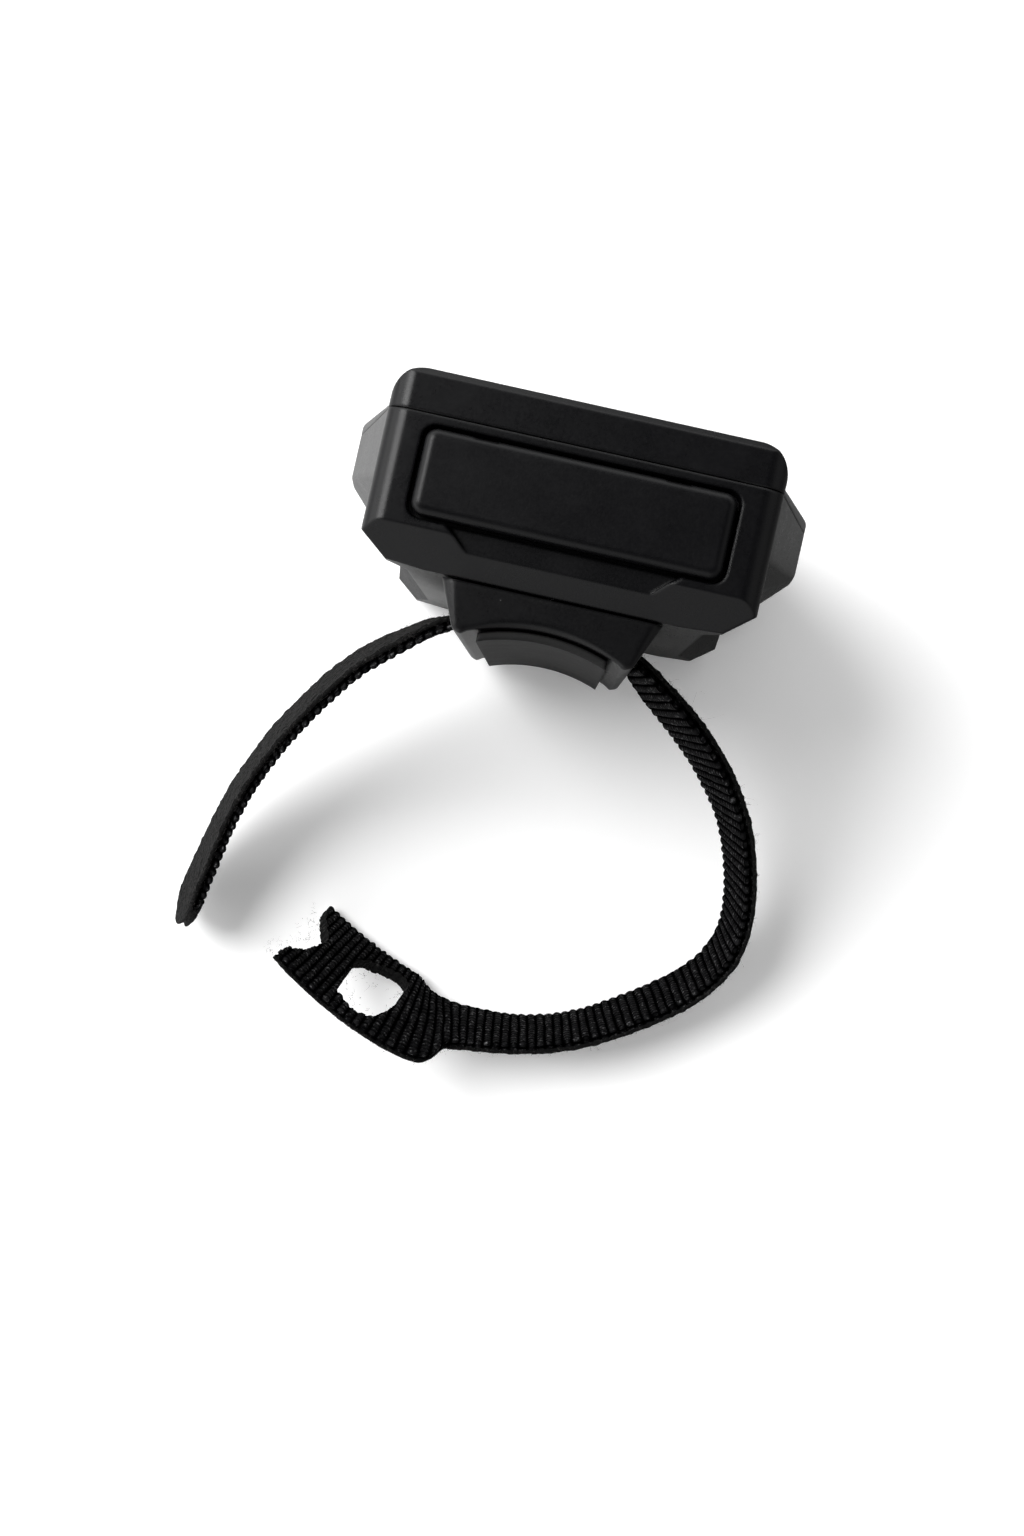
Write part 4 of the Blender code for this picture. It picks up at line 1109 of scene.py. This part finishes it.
def make_fibres(line, material):
    """Loose fibres: short fuzz on the loop side and its rims, and longer ones where the tie is cut."""
    chance = np.random.default_rng(11)
    groups = []

    def add(s, w, n, reach, spread, length, radius):
        """Fibres rooted at s, w, n that leave in the direction reach (along, across, out)."""
        root, along, across, out = line.at(s, w, n)
        count = len(root)
        way = along * reach[0] + across * reach[1] + out * reach[2]
        way = unit(way + spread * chance.normal(size=(count, 3)))
        bend = 0.55 * chance.normal(size=(count, 3))
        size = chance.uniform(*length, count)[:, None, None]
        t = np.linspace(0, 1, 6)[None, :, None]
        curl = 0.28 * np.sin(t * chance.uniform(2, 9, (count, 1, 1))) * chance.normal(size=(count, 1, 3))
        spine = root[:, None] + size * (way[:, None] * t + bend[:, None] * t ** 2 + curl)
        groups.append((spine, radius * (1 - 0.6 * t)))

    uniform = chance.uniform
    count = 2600
    s = uniform(0.5, line.length - 1, count)
    low, high = line.edges(s)
    add(s, low + (high - low) * uniform(0.02, 0.98, count), uniform(0.85, 0.95, count),
        (0, 0, 0.55), 0.75, (0.3, 0.8), 0.022)
    s = uniform(0.5, line.length - 1, 1100)
    low, high = line.edges(s)
    add(s, high - uniform(0.1, 0.4, 1100), uniform(0.2, 0.95, 1100), (0, 0.7, 0.2), 0.6, (0.2, 0.55), 0.02)
    s = uniform(0.5, line.length - 1, 60)
    low, high = line.edges(s)
    add(s, high - 0.3, uniform(0.5, 0.95, 60), (0.1, 0.5, 0.6), 0.6, (0.9, 1.9), 0.016)
    for shape, reach, count in ((SLOT, (0, 0, 0), 70), (FISHTAIL[3:14], (0.5, 0.1, 0.1), 46)):
        spots = np.array(ragged(shape, 0.1, 33, closed=shape is SLOT))
        spots = spots[chance.integers(0, len(spots), count)]
        add(line.length - spots[:, 0], spots[:, 1], uniform(-0.8, 0.9, count), reach, 0.5, (0.3, 1.5), 0.012)
    near_mount = np.abs(line.centre[:, 0] + 16.5).argmin()
    add(np.full(26, line.s[near_mount]) + uniform(-0.6, 0.6, 26), np.full(26, 5.9), uniform(0.4, 1.0, 26),
        (-0.3, 0.6, 0.9), 0.35, (1.0, 2.0), 0.018)

    spines = np.vstack([spine for spine, _ in groups])
    radii = np.vstack([np.broadcast_to(radius, spine.shape[:2] + (1,)) for spine, radius in groups])
    tangent = unit(np.gradient(spines, axis=1))
    side = unit(np.cross(tangent, unit(chance.normal(size=(len(spines), 1, 3)))))
    other = np.cross(tangent, side)
    angles = [math.radians(angle) for angle in (0, 120, 240)]
    ring = np.stack([spines + radii * (side * math.cos(a) + other * math.sin(a)) for a in angles], axis=2)
    ring[..., 2] = np.maximum(ring[..., 2], FIBRE_LOWEST)
    mesh = tube_mesh("stand_tie_fibres", ring)
    mesh.shade_smooth()
    hairs = show("stand_tie_fibres", mesh, material)
    return place_piece(hairs, "housing")


def webbing_material():
    """The ribbed side: black nylon, with painted shade that darkens the valleys between ribs and the gaps
    between the yarns that run along the tie over each rib, and painted glints: a lighter colour on
    glossier, more specular spots where single filaments catch the light."""
    material = new_material("tie_webbing_black", (0.004, 0.004, 0.0045), 0.5, specular=0.3)
    n = Nodes(material)
    odd = n.maths("MODULO", n.maths("FLOOR", n.attribute("rib_number")), 2)
    place = n.maths("ADD", n.maths("DIVIDE", n.attribute("across_mm"), BEAD), n.maths("MULTIPLY", odd, 0.5))
    bead = n.maths("ABSOLUTE", n.maths("SINE", n.maths("MULTIPLY", place, math.pi)))
    # painted shade: top and tone make the colour darkest in the valleys between ribs and beads, lightest on
    # their tops
    top = n.between(n.attribute("rib"), 0.3, 0.85)
    # painted glint: a lighter colour on spots that are also glossier and more specular
    painted_glint_and_gloss = n.between(n.noise(2000, 2, 0.7), 0.56, 0.66)
    tone = n.maths("MULTIPLY", top, n.between(bead, 0.15, 0.75, 0.2, 1.0))
    plain = n.mix(tone, (0.0003, 0.0003, 0.0004), (0.0036, 0.0036, 0.0041))
    n.finish(Base_Color=n.mix(n.maths("MULTIPLY", painted_glint_and_gloss, tone), plain, (0.05, 0.05, 0.052)),
             Roughness=n.between(painted_glint_and_gloss, 0.0, 1.0, 0.62, 0.36),
             Specular_IOR_Level=n.maths("MULTIPLY", tone, n.between(painted_glint_and_gloss, 0.0, 1.0, 0.1, 0.5)),
             Normal=n.bump(n.noise(2600, 3, 0.7), 0.05, 0.8, n.bump(bead, 0.14, 0.9)))
    return material


def loop_material():
    """The loop side: a matt fuzzy knit, with a painted highlight that lightens the fibre tops."""
    material = new_material("tie_loops_black", (0.003, 0.003, 0.003), 0.85, specular=0.12)
    n = Nodes(material)
    knit = n.cells(1500)
    mottle = n.noise(1100, 4, 0.7)
    # painted highlight: a lighter colour on the fibre tops
    painted_fibre_top_light = n.maths("MULTIPLY", n.between(knit, 0.08, 0.42, 1.0, 0.0), n.between(mottle, 0.46, 0.66))
    n.finish(Base_Color=n.mix(painted_fibre_top_light, (0.0007, 0.0007, 0.0007), (0.03, 0.029, 0.028)),
             Sheen_Weight=0.03, Sheen_Roughness=0.4,
             Normal=n.bump(n.noise(3000, 3, 0.7), 0.08, 0.9, n.bump(knit, 0.16)))
    return material


# ---------------------------------------------------------------- finish


def main():
    set_stage()
    black = (0.002, 0.002, 0.0025)
    shell = moulded("housing_black", black, 0.3, grain=0.012, specular=0.22, edge=0.55)
    cover = moulded("cover_black", black, 0.32, specular=0.19, edge=0.6)
    mount = moulded("mount_black", (0.0022, 0.0022, 0.0026), 0.3, grain=0.015, speck=0.9, specular=0.24,
                    edge=0.8)
    rubber = moulded("pad_rubber_black", (0.008, 0.008, 0.008), 0.55, specular=0.2, edge=0.4)
    fibre = new_material("tie_fibres_black", (0.022, 0.02, 0.019), 0.8)
    make_shells(shell)
    make_port_cover(cover)
    make_mount(mount, rubber)
    make_overlay(printed_overlay())
    make_dial(dial_plastic())
    make_test_button(moulded("button_grey", (0.02, 0.02, 0.021), 0.55, grain=0.04, specular=0.35))
    make_slider(moulded("slider_grey", (0.035, 0.035, 0.037), 0.45, grain=0.03, specular=0.4))
    make_lens(clear_lens())
    dress_inner_pieces()
    make_tie(webbing_material(), loop_material(), fibre)


main()
